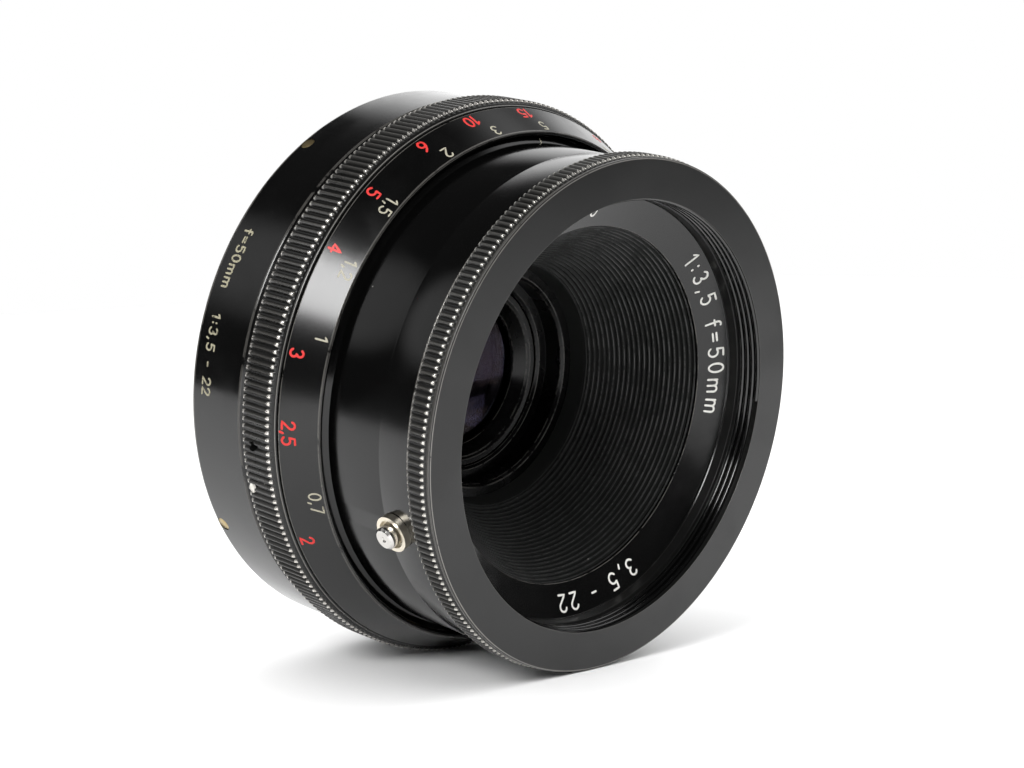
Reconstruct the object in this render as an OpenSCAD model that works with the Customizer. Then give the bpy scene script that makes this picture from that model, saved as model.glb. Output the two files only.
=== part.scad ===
// Manual-focus lens, lying with its optical axis along Y: the front looks towards -Y, +Z is up.
// The origin is the centre of the rear mounting face. Each piece is drawn along a local axis
// that runs forward from that face, and "clock" angles run clockwise as seen from the front.

/* [Rear mount] */
// Major diameter of the rear mounting thread
mount_thread_d = 42; // [33:0.5:42]
// Length of the rear mounting thread behind the mounting face
mount_thread_len = 4.5; // [3.5:0.1:6]
// Wall of the threaded stub
mount_wall = 2; // [1.2:0.1:2.2]
// Thickness of the rear flange
flange_t = 2.4; // [2:0.1:3.2]
// Length of the smooth rear collar
collar_len = 8.9; // [8:0.1:12]
// Wall of the rear collar
collar_wall = 1.6; // [1.2:0.1:2.4]

/* [Focus ring] */
// Length of the toothed part of the focus grip
grip_len = 4.7; // [3.2:0.1:6]
// Height of the focus grip above the rear collar
grip_proud = 0.5; // [0:0.1:1.5]
// Number of teeth on the focus grip
grip_teeth = 252; // [180:12:300]
// Length of the plain shoulder in front of the teeth
shoulder_len = 0.5; // [0.4:0.1:2]
// Length of the conical distance scale
scale_len = 4.35; // [3.8:0.05:6]
// Thickness of the scale's front lip
scale_lip = 0.45; // [0.3:0.05:1]
// Thickness of the scale's rear edge
scale_rear_t = 2.55; // [1.5:0.05:2.6]
// Forward travel of the barrel for one full turn of the focus ring
helicoid_lead = 12; // [8:0.5:14]
// Turn from the position shown to the far stop, in degrees
focus_far_deg = 25; // [10:1:30]
// Turn from the position shown to the near stop, in degrees
focus_near_deg = 125; // [90:1:150]

/* [Barrel] */
// Length of the front barrel between the scale and the aperture ring
barrel_len = 12.5; // [10.5:0.1:18]
// Wall of the front barrel
barrel_wall = 1.3; // [1:0.1:2]
// Step from the front barrel up to the index skirt
skirt_step = 0.8; // [0.6:0.05:1.5]
// Wall of the index skirt
skirt_wall = 0.75; // [0.6:0.05:1]
// Wall of the rotating focusing helicoid
focus_helicoid_wall = 1.3; // [1:0.1:2]
// Wall of the sliding barrel helicoid
barrel_helicoid_wall = 1.3; // [1:0.1:2]
// Wall of the fixed guide tube
guide_wall = 1.6; // [1.2:0.1:1.8]

/* [Front] */
// Major diameter of the front filter thread
filter_thread_d = 49; // [48.5:0.5:62]
// Wall of the filter tube
filter_wall = 1.3; // [1.1:0.1:1.6]
// Thickness of the flat front bezel
bezel_t = 0.5; // [0.4:0.1:1.4]
// Depth of the name ring's rim below the front face
name_ring_depth = 4.45; // [4:0.05:6]
// Width of the dished face of the name ring
name_ring_w = 4.4; // [3.5:0.1:5]
// Length of the aperture ring
aperture_ring_len = 3.1; // [2.4:0.1:4]
// Number of teeth on the aperture ring
ring_teeth = 232; // [160:4:280]
// Turn of the aperture ring from fully open to fully closed, in degrees
aperture_turn = 80; // [60:1:85]

/* [Optics] */
// Number of ribs in the light baffle
baffle_ribs = 22; // [12:1:28]
// Mouth radius of the front lens cell
cell_mouth_r = 12.3; // [11.8:0.1:13]
// Length of the front lens cell
cell_len = 8.6; // [8.4:0.1:11]
// Clear diameter of the front element
front_glass_d = 17.4; // [15:0.2:18]
// Open diameter of the iris
iris_open_d = 13.2; // [11:0.2:14]
// Number of iris blades
iris_blades = 6; // [5:1:6]

/* [Release boss] */
// Diameter of the release boss
boss_d = 4.2; // [3.8:0.1:5]
// Clock position of the release boss, in degrees
boss_clock = -114; // [-160:1:-100]
// Travel of the release plunger
plunger_travel = 1; // [0.6:0.1:1]

/* [Hidden] */
$fn = 96;
eps = 0.02;             // overshoot of a cutter past the face it cuts
joint_gap = 0.1;        // parting line between a turning ring and its neighbour
run_gap = 0.05;         // radial clearance of a running fit
slide_gap = 0.15;       // radial clearance between plain sleeves
thread_gap = 0.1;       // radial clearance of the multi-start focusing thread
thread_depth = 0.4;     // major radius less minor radius of the filter thread
tooth_depth = 0.35;     // height of a knurl tooth

// Axial travel either side of the position shown
far_travel = helicoid_lead * focus_far_deg / 360;
near_travel = helicoid_lead * focus_near_deg / 360;

// Inner radial chain: mount, iris, lens tube and drive rod
mount_r = mount_thread_d / 2;
mount_bore_r = mount_r - mount_wall;
iris_r = mount_bore_r - 0.6;
iris_wall = 1.2;
lens_tube_in_r = mount_bore_r + 0.2;
lens_tube_wall = 1.4;
lens_tube_r = lens_tube_in_r + lens_tube_wall;
rod_r0 = lens_tube_r + 0.8;
rod_t = 1.6;
rod_r1 = rod_r0 + rod_t;

// Outer radial chain: filter tube, drive leg, barrel, scale, grip and collar
filter_bore_r = filter_thread_d / 2 - thread_depth;
filter_tube_r = filter_bore_r + filter_wall;
leg_r0 = filter_tube_r + 0.2;
leg_r1 = leg_r0 + 0.9;
barrel_in_r = leg_r1 + 0.4;
barrel_r = barrel_in_r + barrel_wall;
skirt_r = barrel_r + skirt_step;
skirt_in_r = skirt_r - skirt_wall;
focus_helicoid_r = skirt_in_r - slide_gap;
focus_helicoid_in_r = focus_helicoid_r - focus_helicoid_wall;
barrel_helicoid_r = focus_helicoid_in_r - thread_gap;
barrel_helicoid_in_r = barrel_helicoid_r - barrel_helicoid_wall;
guide_r = barrel_helicoid_in_r - 0.2;
guide_in_r = guide_r - guide_wall;
scale_bore_r = skirt_r + slide_gap;
scale_front_r = scale_bore_r + scale_lip;
scale_rear_r = scale_bore_r + scale_rear_t;
web_r = scale_bore_r + 0.7;
housing_r = web_r + 0.55;
collar_r = housing_r + collar_wall;
grip_r = collar_r + grip_proud;
shoulder_r = grip_r - 0.6;

// Axial chain, measured forward from the mounting face
housing_front = collar_len + 0.3;
grip_rear = collar_len + 0.4;
washer_t = 0.2;
web_rear = housing_front + washer_t + 0.05;
web_t = 2.55;
web_front = web_rear + web_t;
grip_front = grip_rear + grip_len;
shoulder_front = grip_front + shoulder_len;
scale_rear = shoulder_front + joint_gap;
scale_front = scale_rear + scale_len;
barrel_rear = scale_front - 0.05;
barrel_front = barrel_rear + barrel_len;
seam_at = barrel_rear + 0.63 * barrel_len;
ring_rear = barrel_front + joint_gap;
ring_front = ring_rear + aperture_ring_len;
bezel_r = barrel_r + 0.7;
bezel_rear = ring_front + joint_gap;
front_face = bezel_rear + bezel_t;
guide_base_t = 1.2;
guide_front = barrel_rear - far_travel - 1.1;
helicoid_rear = flange_t + 2.15;
helicoid_front = barrel_rear - far_travel - 0.9;
barrel_helicoid_rear = flange_t + guide_base_t + far_travel + 0.9;
skirt_rear = web_front + far_travel + 0.35;
bevel_h = 0.85 * skirt_step;
bulkhead_t = 1.5;
bulkhead_front = barrel_front - 4.6;
bulkhead_rear = bulkhead_front - bulkhead_t;
bore_flare_at = bulkhead_rear - 1.8;
fork_arm_t = 0.6;
ledge_t = 1.9;
name_rim = front_face - name_ring_depth;
name_drop = 1.7;
name_t = 0.8;
name_rim_r = filter_bore_r + 0.7;
name_in_r = name_rim_r - name_ring_w;
name_in = name_rim - name_drop;

// Iris and optics
rod_rear = flange_t + far_travel + 0.45;
drive_t = 0.65;
drive_r = iris_r - iris_wall - 0.3;
lens_tube_rear = rod_rear + drive_t + 0.45;
plate_t = 1.4;
plate_front = lens_tube_rear + plate_t;
plate_bore_r = 10.6;
iris_base_t = 0.6;
blade_t = 0.12;
blade_pitch = 0.22;
blade_first = rod_rear - 0.28 - iris_blades * blade_pitch;
iris_base_front = blade_first - 0.12;
iris_base_rear = iris_base_front - iris_base_t;
iris_open_r = iris_open_d / 2;
blade_in_r = iris_open_r + 0.2;
blade_w = 4.4;
pivot_r = 12.4;
pivot_pin_r = 0.6;
blade_sweep = 100;
cell_front = plate_front + cell_len;
cell_r = 15;
glass_r = front_glass_d / 2;
keeper_r = glass_r + 2.2;
glass_rim_r = glass_r + 0.4;
keeper_seat = cell_front - 5;
second_seat = plate_front + 0.3;
second_t = 0.9;
spacer_front = second_seat + second_t + 0.7;
rod_clock = 50;
rod_half_deg = 8;
collar_screw_clocks = [-123, -36, 51, 138];
grip_screw_clocks = [-100, 20, 140];
flange_screw_clocks = [30, 120, 210, 300];
flange_screw_bite = 1.2;
stop_pin_r = 0.4;
stop_pin_at_r = web_r - stop_pin_r;
stop_pin_clock = 30;

// Release boss, measured outwards from the optical axis
boss_at = barrel_front - 3.2;
boss_flange_h = 0.85;
boss_bottom_r = filter_tube_r + 0.25;
boss_floor_t = 0.3;
plunger_head_d = 2.6;
plunger_stem_d = 1.4;
plunger_collar_r = barrel_r - 0.35;
spring_wire = 0.2;

// ---- Helpers -------------------------------------------------------------------------------

// Turns the local forward axis towards -Y.
module lens_axis() { rotate([90, 0, 0]) children(); }

// Turns a child drawn on the local +Y side to a clock position.
module clock(deg) { rotate([0, 0, -deg]) children(); }

// Ring of a rectangular section between two radii and two stations.
module ring(r_out, r_in, from, to) {
    translate([0, 0, from]) difference() {
        cylinder(h = to - from, r = r_out);
        translate([0, 0, -eps]) cylinder(h = to - from + 2 * eps, r = r_in);
    }
}

// Sector of a ring between two clock positions.
module sector(r_out, r_in, from, to, clock_a, clock_b) {
    rotate([0, 0, 90 - clock_b]) rotate_extrude(angle = clock_b - clock_a)
        translate([r_in, from]) square([r_out - r_in, to - from]);
}

// Cylinder along a radius, from one distance off the axis to another.
module radial_rod(r, from, to, at, deg) {
    clock(deg) translate([0, from, at]) rotate([-90, 0, 0]) cylinder(h = to - from, r = r);
}

// Cylinders along the axis, one at each clock position.
module axial_rods(r, pcr, from, to, clocks) {
    for (deg = clocks) clock(deg) translate([0, pcr, from]) cylinder(h = to - from, r = r);
}

// Straight knurl: a star outline with one point to a tooth.
module knurl(teeth, r_tip, from, to) {
    step = 360 / teeth;
    translate([0, 0, from]) linear_extrude(height = to - from)
        polygon([for (i = [0 : teeth - 1], half = [0, 1])
            (r_tip - half * tooth_depth) * [sin((i + half / 2) * step), cos((i + half / 2) * step)]]);
}

// Point on a coil, and the closed tube that follows it.
function coil_point(r, pitch, deg) = [r * cos(deg), r * sin(deg), pitch * deg / 360];
module coil(r, wire_r, pitch, turns, steps = 16, sides = 6) {
    rings = turns * steps;
    pts = [for (i = [0 : rings], j = [0 : sides - 1])
        let (deg = 360 * i / steps, c = coil_point(r, pitch, deg), a = 360 * j / sides)
        c + wire_r * [cos(a) * cos(deg), cos(a) * sin(deg), sin(a)]];
    sides_faces = [for (i = [0 : rings - 1], j = [0 : sides - 1])
        let (k = (j + 1) % sides)
        [i * sides + j, (i + 1) * sides + j, (i + 1) * sides + k, i * sides + k]];
    polyhedron(pts, concat(sides_faces,
        [[for (j = [0 : sides - 1]) j]],
        [[for (j = [sides - 1 : -1 : 0]) rings * sides + j]]));
}

// ---- Fixed rear mount ----------------------------------------------------------------------

module rear_flange() color("#1a1a1b") lens_axis() difference() {
    union() {
        ring(mount_r, mount_bore_r, -mount_thread_len, 0);
        ring(housing_r, mount_bore_r, 0, flange_t);
    }
    axial_rods(0.8, housing_r - 1.05, -eps, flange_t + eps, flange_screw_clocks);
    axial_rods(0.6, guide_r + 1.1, -eps, flange_t + eps, [0, 90, 180, 270]);
    for (deg = collar_screw_clocks) radial_rod(0.8, housing_r - 1, housing_r + eps, 1.25, deg);
}

module flange_screws() color("#8e8f92") lens_axis() difference() {
    axial_rods(0.8, housing_r - 1.05, 0, flange_t + flange_screw_bite, flange_screw_clocks);
    for (deg = flange_screw_clocks)
        clock(deg) translate([-1, housing_r - 1.2, -eps]) cube([2, 0.3, 0.35]);
}

module rear_collar() color("#131314") lens_axis() difference() {
    rotate_extrude() polygon([
        [housing_r, 0], [collar_r - 0.4, 0], [collar_r - 0.15, 0.3],
        [collar_r, collar_len - 0.4], [collar_r - 0.35, collar_len], [housing_r, collar_len]]);
    for (deg = collar_screw_clocks) radial_rod(0.8, housing_r - eps, collar_r + 1, 1.25, deg);
}

module collar_screws() color("#a98d57") lens_axis() difference() {
    for (deg = collar_screw_clocks) radial_rod(0.8, housing_r - 1, collar_r - 0.35, 1.25, deg);
    for (deg = collar_screw_clocks)
        clock(deg) translate([-0.12, collar_r - 0.7, 0]) cube([0.24, 1, 2.5]);
}

module bearing_housing() color("#5c5d60") lens_axis() difference() {
    ring(housing_r, focus_helicoid_r + run_gap, flange_t, housing_front);
    translate([0, 0, flange_t - eps]) cylinder(h = helicoid_rear - flange_t + 0.05 + eps,
        r = focus_helicoid_r + 0.85);
    axial_rods(0.8, housing_r - 1.05, flange_t - eps, flange_t + flange_screw_bite,
        flange_screw_clocks);
    sector(stop_pin_at_r + stop_pin_r + run_gap, stop_pin_at_r - stop_pin_r - run_gap,
        housing_front - 1.9, housing_front + eps,
        stop_pin_clock - focus_far_deg - 1, stop_pin_clock + focus_near_deg + 1);
}

module guide_tube() color("#77787b") lens_axis() difference() {
    union() {
        ring(guide_r, guide_in_r, flange_t, guide_front);
        ring(guide_r + 2.4, guide_in_r, flange_t, flange_t + guide_base_t);
    }
    axial_rods(0.6, guide_r + 1.1, flange_t - eps, flange_t + guide_base_t + eps,
        [0, 90, 180, 270]);
    for (deg = [0, 180]) clock(deg)
        translate([-1.45, guide_r - 0.6, guide_front - 7]) cube([2.9, 2, 6]);
}

module guide_screws() color("#8e8f92") lens_axis() difference() {
    axial_rods(0.6, guide_r + 1.1, 0, flange_t + guide_base_t, [0, 90, 180, 270]);
    for (deg = [0, 90, 180, 270]) clock(deg) translate([-1, guide_r + 1, -eps]) cube([2, 0.2, 0.3]);
}

module guide_keys() color("#b39a5e") lens_axis()
    for (deg = [0, 180]) clock(deg)
        translate([-1.45, guide_r - 0.6, guide_front - 7]) cube([2.9, 1.7, 6]);

module thrust_washer() color("#b39a5e") lens_axis()
    ring(focus_helicoid_r + 0.75, focus_helicoid_r + 0.15, housing_front, housing_front + washer_t);

// ---- Focus ring ----------------------------------------------------------------------------

module focus_grip_ring() color("#171718") lens_axis() difference() {
    union() {
        knurl(grip_teeth, grip_r, grip_rear, grip_front);
        translate([0, 0, grip_front]) cylinder(h = shoulder_len, r = shoulder_r);
    }
    translate([0, 0, grip_rear - eps])
        cylinder(h = shoulder_front - grip_rear + 2 * eps, r = web_r);
    for (deg = grip_screw_clocks) radial_rod(0.5, web_r - 1, grip_r + 1, web_front - 0.75, deg);
}

module distance_scale_ring() color("#101011") lens_axis()
    rotate_extrude() polygon([
        [scale_bore_r, web_front], [web_r, web_front], [web_r, scale_rear],
        [scale_rear_r - 0.1, scale_rear], [scale_rear_r, scale_rear + 0.15],
        [scale_front_r, scale_front - 0.15], [scale_front_r - 0.15, scale_front],
        [scale_bore_r, scale_front]]);

module focusing_helicoid() color("#b39a5e") lens_axis() difference() {
    union() {
        ring(focus_helicoid_r, focus_helicoid_in_r, helicoid_rear, helicoid_front);
        ring(web_r, focus_helicoid_in_r, web_rear, web_front);
    }
    for (deg = grip_screw_clocks) radial_rod(0.5, web_r - 0.7, web_r + 1, web_front - 0.75, deg);
    clock(stop_pin_clock) translate([0, stop_pin_at_r, web_rear - eps])
        cylinder(h = 1.2 + eps, r = stop_pin_r);
}

module helicoid_retaining_ring() color("#77787b") lens_axis()
    ring(focus_helicoid_r + 0.7, focus_helicoid_in_r, helicoid_rear - 0.8, helicoid_rear);

module grip_screws() color("#2a2a2c") lens_axis()
    for (deg = grip_screw_clocks) radial_rod(0.5, web_r - 0.7, grip_r - 1, web_front - 0.75, deg);

module focus_stop_pin() color("#8e8f92") lens_axis() clock(stop_pin_clock)
    translate([0, stop_pin_at_r, housing_front - 1.6])
        cylinder(h = web_rear + 1.2 - housing_front + 1.6, r = stop_pin_r);

// ---- Sliding barrel ------------------------------------------------------------------------

module front_barrel() color("#0e0e0f") lens_axis() difference() {
    rotate_extrude() polygon([
        [barrel_in_r, barrel_rear], [barrel_r, barrel_rear],
        [barrel_r, seam_at - 0.06], [barrel_r - 0.06, seam_at], [barrel_r, seam_at + 0.06],
        [barrel_r, barrel_front - 0.2], [barrel_r - 0.2, barrel_front],
        [barrel_in_r, barrel_front], [barrel_in_r, bulkhead_rear],
        [guide_r - 0.3, bulkhead_rear], [guide_r - 0.3, bulkhead_rear - ledge_t],
        [barrel_in_r, bulkhead_rear - ledge_t]]);
    radial_rod(boss_d / 2 - 0.4, barrel_in_r - 1, barrel_r + 1, boss_at, boss_clock);
    axial_rods(0.5, (guide_r - 0.3 + barrel_in_r) / 2, bulkhead_rear - 1.2, bulkhead_rear + eps,
        [-60, 0, 180]);
}

module index_skirt() color("#121213") lens_axis()
    rotate_extrude() polygon([
        [skirt_in_r, skirt_rear], [skirt_r, skirt_rear], [skirt_r, barrel_rear - bevel_h],
        [barrel_r, barrel_rear], [barrel_in_r, barrel_rear], [barrel_in_r, barrel_rear - 0.5],
        [skirt_in_r, barrel_rear - 0.5]]);

module barrel_helicoid() color("#c0a768") lens_axis() difference() {
    union() {
        ring(barrel_helicoid_r, barrel_helicoid_in_r, barrel_helicoid_rear, barrel_rear + 0.2);
        ring(barrel_in_r, barrel_helicoid_in_r, barrel_rear + 0.2, barrel_rear + 1.6);
    }
    for (deg = [0, 180]) clock(deg)
        translate([-1.5, barrel_helicoid_in_r - 1, barrel_helicoid_rear - eps])
            cube([3, 3, guide_front + far_travel - barrel_helicoid_rear - 0.7 + eps]);
}

module lens_tube() color("#222223") lens_axis() difference() {
    union() {
        ring(lens_tube_r, lens_tube_in_r, lens_tube_rear, bulkhead_rear + 0.2);
        ring(barrel_in_r, lens_tube_in_r, bulkhead_rear, bulkhead_front);
        ring(lens_tube_in_r + eps, plate_bore_r, lens_tube_rear, plate_front);
    }
    translate([0, 0, bore_flare_at])
        cylinder(h = bulkhead_front - bore_flare_at + eps, r1 = lens_tube_in_r, r2 = lens_tube_r + 0.6);
    sector(rod_r1 + 0.25, rod_r0 - 0.25, bulkhead_rear - eps, bulkhead_front + eps,
        rod_clock - rod_half_deg - 4, rod_clock + rod_half_deg + aperture_turn + 4);
    axial_rods(0.5, (guide_r - 0.3 + barrel_in_r) / 2, bulkhead_rear - eps, bulkhead_front + eps,
        [-60, 0, 180]);
    axial_rods(0.5, iris_r - iris_wall / 2, lens_tube_rear - eps, plate_front + eps,
        [-30, 190, 280]);
    radial_rod(boss_d / 2 - 0.3, boss_bottom_r - 0.3, barrel_r, boss_at, boss_clock);
}

module bulkhead_screws() color("#8e8f92") lens_axis()
    axial_rods(0.5, (guide_r - 0.3 + barrel_in_r) / 2, bulkhead_rear - 1.2, bulkhead_front,
        [-60, 0, 180]);

module filter_bezel_ring() color("#4d4e50") lens_axis() difference() {
    rotate_extrude() polygon([
        [filter_bore_r, name_rim + 0.05], [filter_tube_r - 0.55, name_rim + 0.05],
        [filter_tube_r - 0.55, bulkhead_front], [filter_tube_r, bulkhead_front],
        [filter_tube_r, bezel_rear], [bezel_r - bezel_t / 2, bezel_rear],
        [bezel_r, bezel_rear + bezel_t / 4], [bezel_r, front_face - bezel_t / 4],
        [bezel_r - bezel_t / 4, front_face],
        [filter_bore_r + 0.1, front_face], [filter_bore_r, front_face - 0.1]]);
    sector(filter_tube_r + 0.3, filter_tube_r - 1, bulkhead_front - eps, bulkhead_front + 1.5,
        rod_clock - rod_half_deg - 3, rod_clock + rod_half_deg + aperture_turn + 3);
    radial_rod(plunger_stem_d / 2 + 0.3, filter_tube_r - 1, filter_tube_r + 1, boss_at, boss_clock);
}

module name_ring() color("#151516") lens_axis()
    rotate_extrude() polygon([
        [name_in_r, name_in - name_t], [name_in_r, name_in], [name_rim_r - 0.3, name_rim],
        [name_rim_r, name_rim], [name_rim_r, name_rim - name_t],
        [name_rim_r - 0.3, name_rim - name_t]]);

baffle_wall = 0.8;
rib_depth = 0.35;
baffle_rear = cell_front + 2.1;
baffle_rear_r = cell_mouth_r + 1.9;
baffle_t = rib_depth + baffle_wall;
baffle_lip_rear = name_in - name_t - 0.52;
baffle_line = [[baffle_rear, baffle_rear_r],
    [bore_flare_at, lens_tube_in_r - 0.4 - baffle_t],
    [baffle_lip_rear, rod_r0 - 0.5 - baffle_t], [name_in, name_in_r]];
function baffle_r(at) = lookup(at, baffle_line);
rib_pitch = (name_in - baffle_rear) / baffle_ribs;
module ribbed_baffle() color("#1f2021") lens_axis()
    rotate_extrude() polygon(concat(
        [for (i = [0 : baffle_ribs - 1], half = [0, 1])
            let (at = baffle_rear + (i + 0.5 + half / 2) * rib_pitch)
            [baffle_r(at) + (1 - half) * rib_depth, at]],
        [[name_in_r, baffle_lip_rear + 0.5], [name_in_r + 0.7, baffle_lip_rear + 0.5],
         [name_in_r + 0.7, baffle_lip_rear], [rod_r0 - 0.5, baffle_lip_rear],
         [lens_tube_in_r - 0.4, bore_flare_at], [baffle_rear_r + baffle_t, baffle_rear],
         [cell_mouth_r + 2.3, cell_front], [cell_mouth_r + 1.3, cell_front],
         [baffle_rear_r, baffle_rear]]));

module front_cell() color("#0f0f10") lens_axis() difference() {
    union() {
        ring(cell_r, 1, plate_front, cell_front);
        ring(plate_bore_r, 1, lens_tube_rear + 0.1, plate_front);
    }
    translate([0, 0, cell_front - 2.8]) cylinder(h = 3, r = cell_mouth_r);
    translate([0, 0, keeper_seat]) cylinder(h = 3, r = keeper_r);
    translate([0, 0, second_seat]) cylinder(h = cell_len, r = glass_rim_r);
    translate([0, 0, lens_tube_rear - 1]) cylinder(h = cell_len, r = glass_r - 1.2);
}

module front_keeper_ring() color("#18181a") lens_axis()
    rotate_extrude() polygon([
        [glass_r - 0.1, keeper_seat], [keeper_r, keeper_seat],
        [keeper_r, cell_front - 3.4], [keeper_r - 0.2, cell_front - 3.2],
        [keeper_r - 1, cell_front - 3.4]]);

front_glass_ball = 24;
module front_element() color("#8d7fa6") lens_axis() intersection() {
    union() {
        translate([0, 0, spacer_front])
            cylinder(h = keeper_seat - spacer_front, r = glass_rim_r);
        translate([0, 0, spacer_front]) cylinder(h = 4, r = glass_r - 0.15);
    }
    translate([0, 0, keeper_seat + 1.2 - front_glass_ball]) sphere(r = front_glass_ball);
}

module element_spacer() color("#2a2a2c") lens_axis()
    ring(glass_rim_r, glass_r - 0.6, second_seat + second_t, spacer_front);

second_glass_ball = 60;
module second_element() color("#a9b3b8") lens_axis() difference() {
    translate([0, 0, second_seat]) cylinder(h = second_t, r = glass_rim_r);
    translate([0, 0, second_seat + 0.65 + second_glass_ball]) sphere(r = second_glass_ball);
}

module iris_housing() color("#2b2b2d") lens_axis() difference() {
    union() {
        ring(iris_r, iris_open_r + 0.2, iris_base_rear, iris_base_front);
        ring(iris_r, iris_r - iris_wall, iris_base_front, lens_tube_rear);
        for (i = [0 : iris_blades - 1]) clock(i * 360 / iris_blades)
            translate([0, pivot_r, iris_base_front - 0.1])
                cylinder(h = rod_rear - 0.1 - iris_base_front + 0.1, r = pivot_pin_r);
    }
    sector(iris_r + 1, iris_r - iris_wall - 1, rod_rear - 0.15, lens_tube_rear + eps,
        rod_clock - rod_half_deg - 4, rod_clock + rod_half_deg + aperture_turn + 4);
    axial_rods(0.5, iris_r - iris_wall / 2, lens_tube_rear - 1.5, lens_tube_rear + eps,
        [-30, 190, 280]);
}

module iris_screws() color("#8e8f92") lens_axis()
    axial_rods(0.5, iris_r - iris_wall / 2, lens_tube_rear - 1.5, plate_front,
        [-30, 190, 280]);

rear_cell_rear = -mount_thread_len + 0.4;
rear_glass_r = 9.4;
rear_seat = iris_base_rear - 0.9;
glass_fn = 240;
cement_ball = 32;
cement_top = rear_seat - 0.8;
rear_ball = 40;
rear_vertex = rear_seat - 4;
module rear_cell() color("#161617") lens_axis() difference() {
    ring(11.6, iris_open_r + 0.2, rear_cell_rear, iris_base_rear);
    translate([0, 0, rear_cell_rear - eps])
        cylinder(h = rear_seat - rear_cell_rear + eps, r = rear_glass_r);
}

module rear_doublet_front() color("#a9b3b8") lens_axis() difference() {
    translate([0, 0, rear_seat - 2.1]) cylinder(h = 2.1, r = rear_glass_r);
    translate([0, 0, cement_top - cement_ball]) sphere(r = cement_ball, $fn = glass_fn);
}

module rear_doublet_back() color("#a9b3b8") lens_axis() intersection() {
    translate([0, 0, rear_vertex - 1]) cylinder(h = 5, r = rear_glass_r);
    translate([0, 0, cement_top - 0.02 - cement_ball]) sphere(r = cement_ball, $fn = glass_fn);
    translate([0, 0, rear_vertex + rear_ball]) sphere(r = rear_ball, $fn = glass_fn);
}

module rear_keeper_ring() color("#18181a") lens_axis() difference() {
    ring(rear_glass_r, rear_glass_r - 1.2, rear_vertex - 0.4, rear_vertex + 0.8);
    for (deg = [0, 180]) clock(deg)
        translate([-0.4, rear_glass_r - 1.4, rear_vertex - 0.5]) cube([0.8, 2, 0.6]);
}

module release_boss() color("#b9a878") lens_axis() clock(boss_clock)
    translate([0, 0, boss_at]) rotate([-90, 0, 0]) difference() {
        union() {
            translate([0, 0, boss_bottom_r])
                cylinder(h = barrel_r - boss_bottom_r, r = boss_d / 2 - 0.4);
            translate([0, 0, barrel_r]) cylinder(h = boss_flange_h, r = boss_d / 2);
        }
        translate([0, 0, boss_bottom_r - 1])
            cylinder(h = 3, r = plunger_stem_d / 2 + run_gap);
        translate([0, 0, boss_bottom_r + boss_floor_t])
            cylinder(h = plunger_collar_r + 0.25 - boss_bottom_r - boss_floor_t, r = 1.45);
        translate([0, 0, barrel_r - 1])
            cylinder(h = 4, r = plunger_head_d / 2 + run_gap);
        translate([0, 0, barrel_r + boss_flange_h - 0.5])
            cylinder(h = 1, r = boss_d / 2 - 0.45);
    }

// ---- Aperture ring and iris ----------------------------------------------------------------

module aperture_ring() color("#1b1b1c") lens_axis() difference() {
    union() {
        translate([0, 0, ring_rear]) cylinder(h = aperture_ring_len, r = barrel_r + 0.45);
        knurl(ring_teeth, barrel_r + 0.9, ring_rear + 0.3, ring_front - 0.2);
    }
    translate([0, 0, ring_rear - eps])
        cylinder(h = aperture_ring_len + 2 * eps, r = filter_tube_r + run_gap);
}

module aperture_drive_fork() color("#b39a5e") lens_axis() {
    a = rod_clock - rod_half_deg;
    b = rod_clock + rod_half_deg;
    sector(leg_r1, leg_r0, bulkhead_front + 0.2, ring_rear, a, b);
    sector(leg_r0, rod_r0, bulkhead_front + 0.2, bulkhead_front + 0.2 + fork_arm_t, a, b);
    sector(rod_r1, rod_r0, rod_rear, bulkhead_front + 0.2, a, b);
    sector(rod_r0, drive_r, rod_rear, rod_rear + drive_t, a, b);
}

module iris_drive_ring() color("#b39a5e") lens_axis() difference() {
    ring(drive_r, blade_in_r + 1.2, rod_rear, rod_rear + drive_t);
    for (i = [0 : iris_blades - 1]) clock((i + 0.5) * 360 / iris_blades)
        translate([-0.4, pivot_r - 2.6, rod_rear - 1]) cube([0.8, 4, 3]);
}

// One crescent blade, lying fully open round the light path, with its eye on the pivot pin.
module iris_blade(i) {
    level = blade_first + i * blade_pitch;
    at = i * 360 / iris_blades;
    if (i < iris_blades) color("#3a3b3e") lens_axis() difference() {
        union() {
            sector(blade_in_r + blade_w, blade_in_r, level, level + blade_t, at - 6, at + blade_sweep);
            clock(at) translate([0, pivot_r, level]) cylinder(h = blade_t, r = 1.5);
        }
        clock(at) translate([0, pivot_r, level - 1])
            cylinder(h = 3, r = pivot_pin_r + run_gap);
    }
}
module iris_blade_1() { iris_blade(0); }
module iris_blade_2() { iris_blade(1); }
module iris_blade_3() { iris_blade(2); }
module iris_blade_4() { iris_blade(3); }
module iris_blade_5() { iris_blade(4); }
module iris_blade_6() { iris_blade(5); }

// ---- Release plunger -----------------------------------------------------------------------

module release_plunger() color("#c8c6c0") lens_axis() clock(boss_clock)
    translate([0, 0, boss_at]) rotate([-90, 0, 0]) rotate_extrude() polygon([
        [0, boss_bottom_r - 0.1], [plunger_stem_d / 2, boss_bottom_r - 0.1],
        [plunger_stem_d / 2, plunger_collar_r], [1.4, plunger_collar_r],
        [1.4, plunger_collar_r + 0.2], [plunger_head_d / 2, plunger_collar_r + 0.2],
        [plunger_head_d / 2, barrel_r + 1.7], [plunger_head_d / 2 - 0.25, barrel_r + 1.95],
        [0.35, barrel_r + 1.95], [0.2, barrel_r + 1.8], [0, barrel_r + 1.8]]);

module release_spring() color("#c8c6c0") lens_axis() clock(boss_clock)
    translate([0, 0, boss_at]) rotate([-90, 0, 0])
        translate([0, 0, boss_bottom_r + boss_floor_t + spring_wire / 2])
            coil(1.05, spring_wire / 2,
                (plunger_collar_r - boss_bottom_r - boss_floor_t - spring_wire) / 3, 3);

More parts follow.
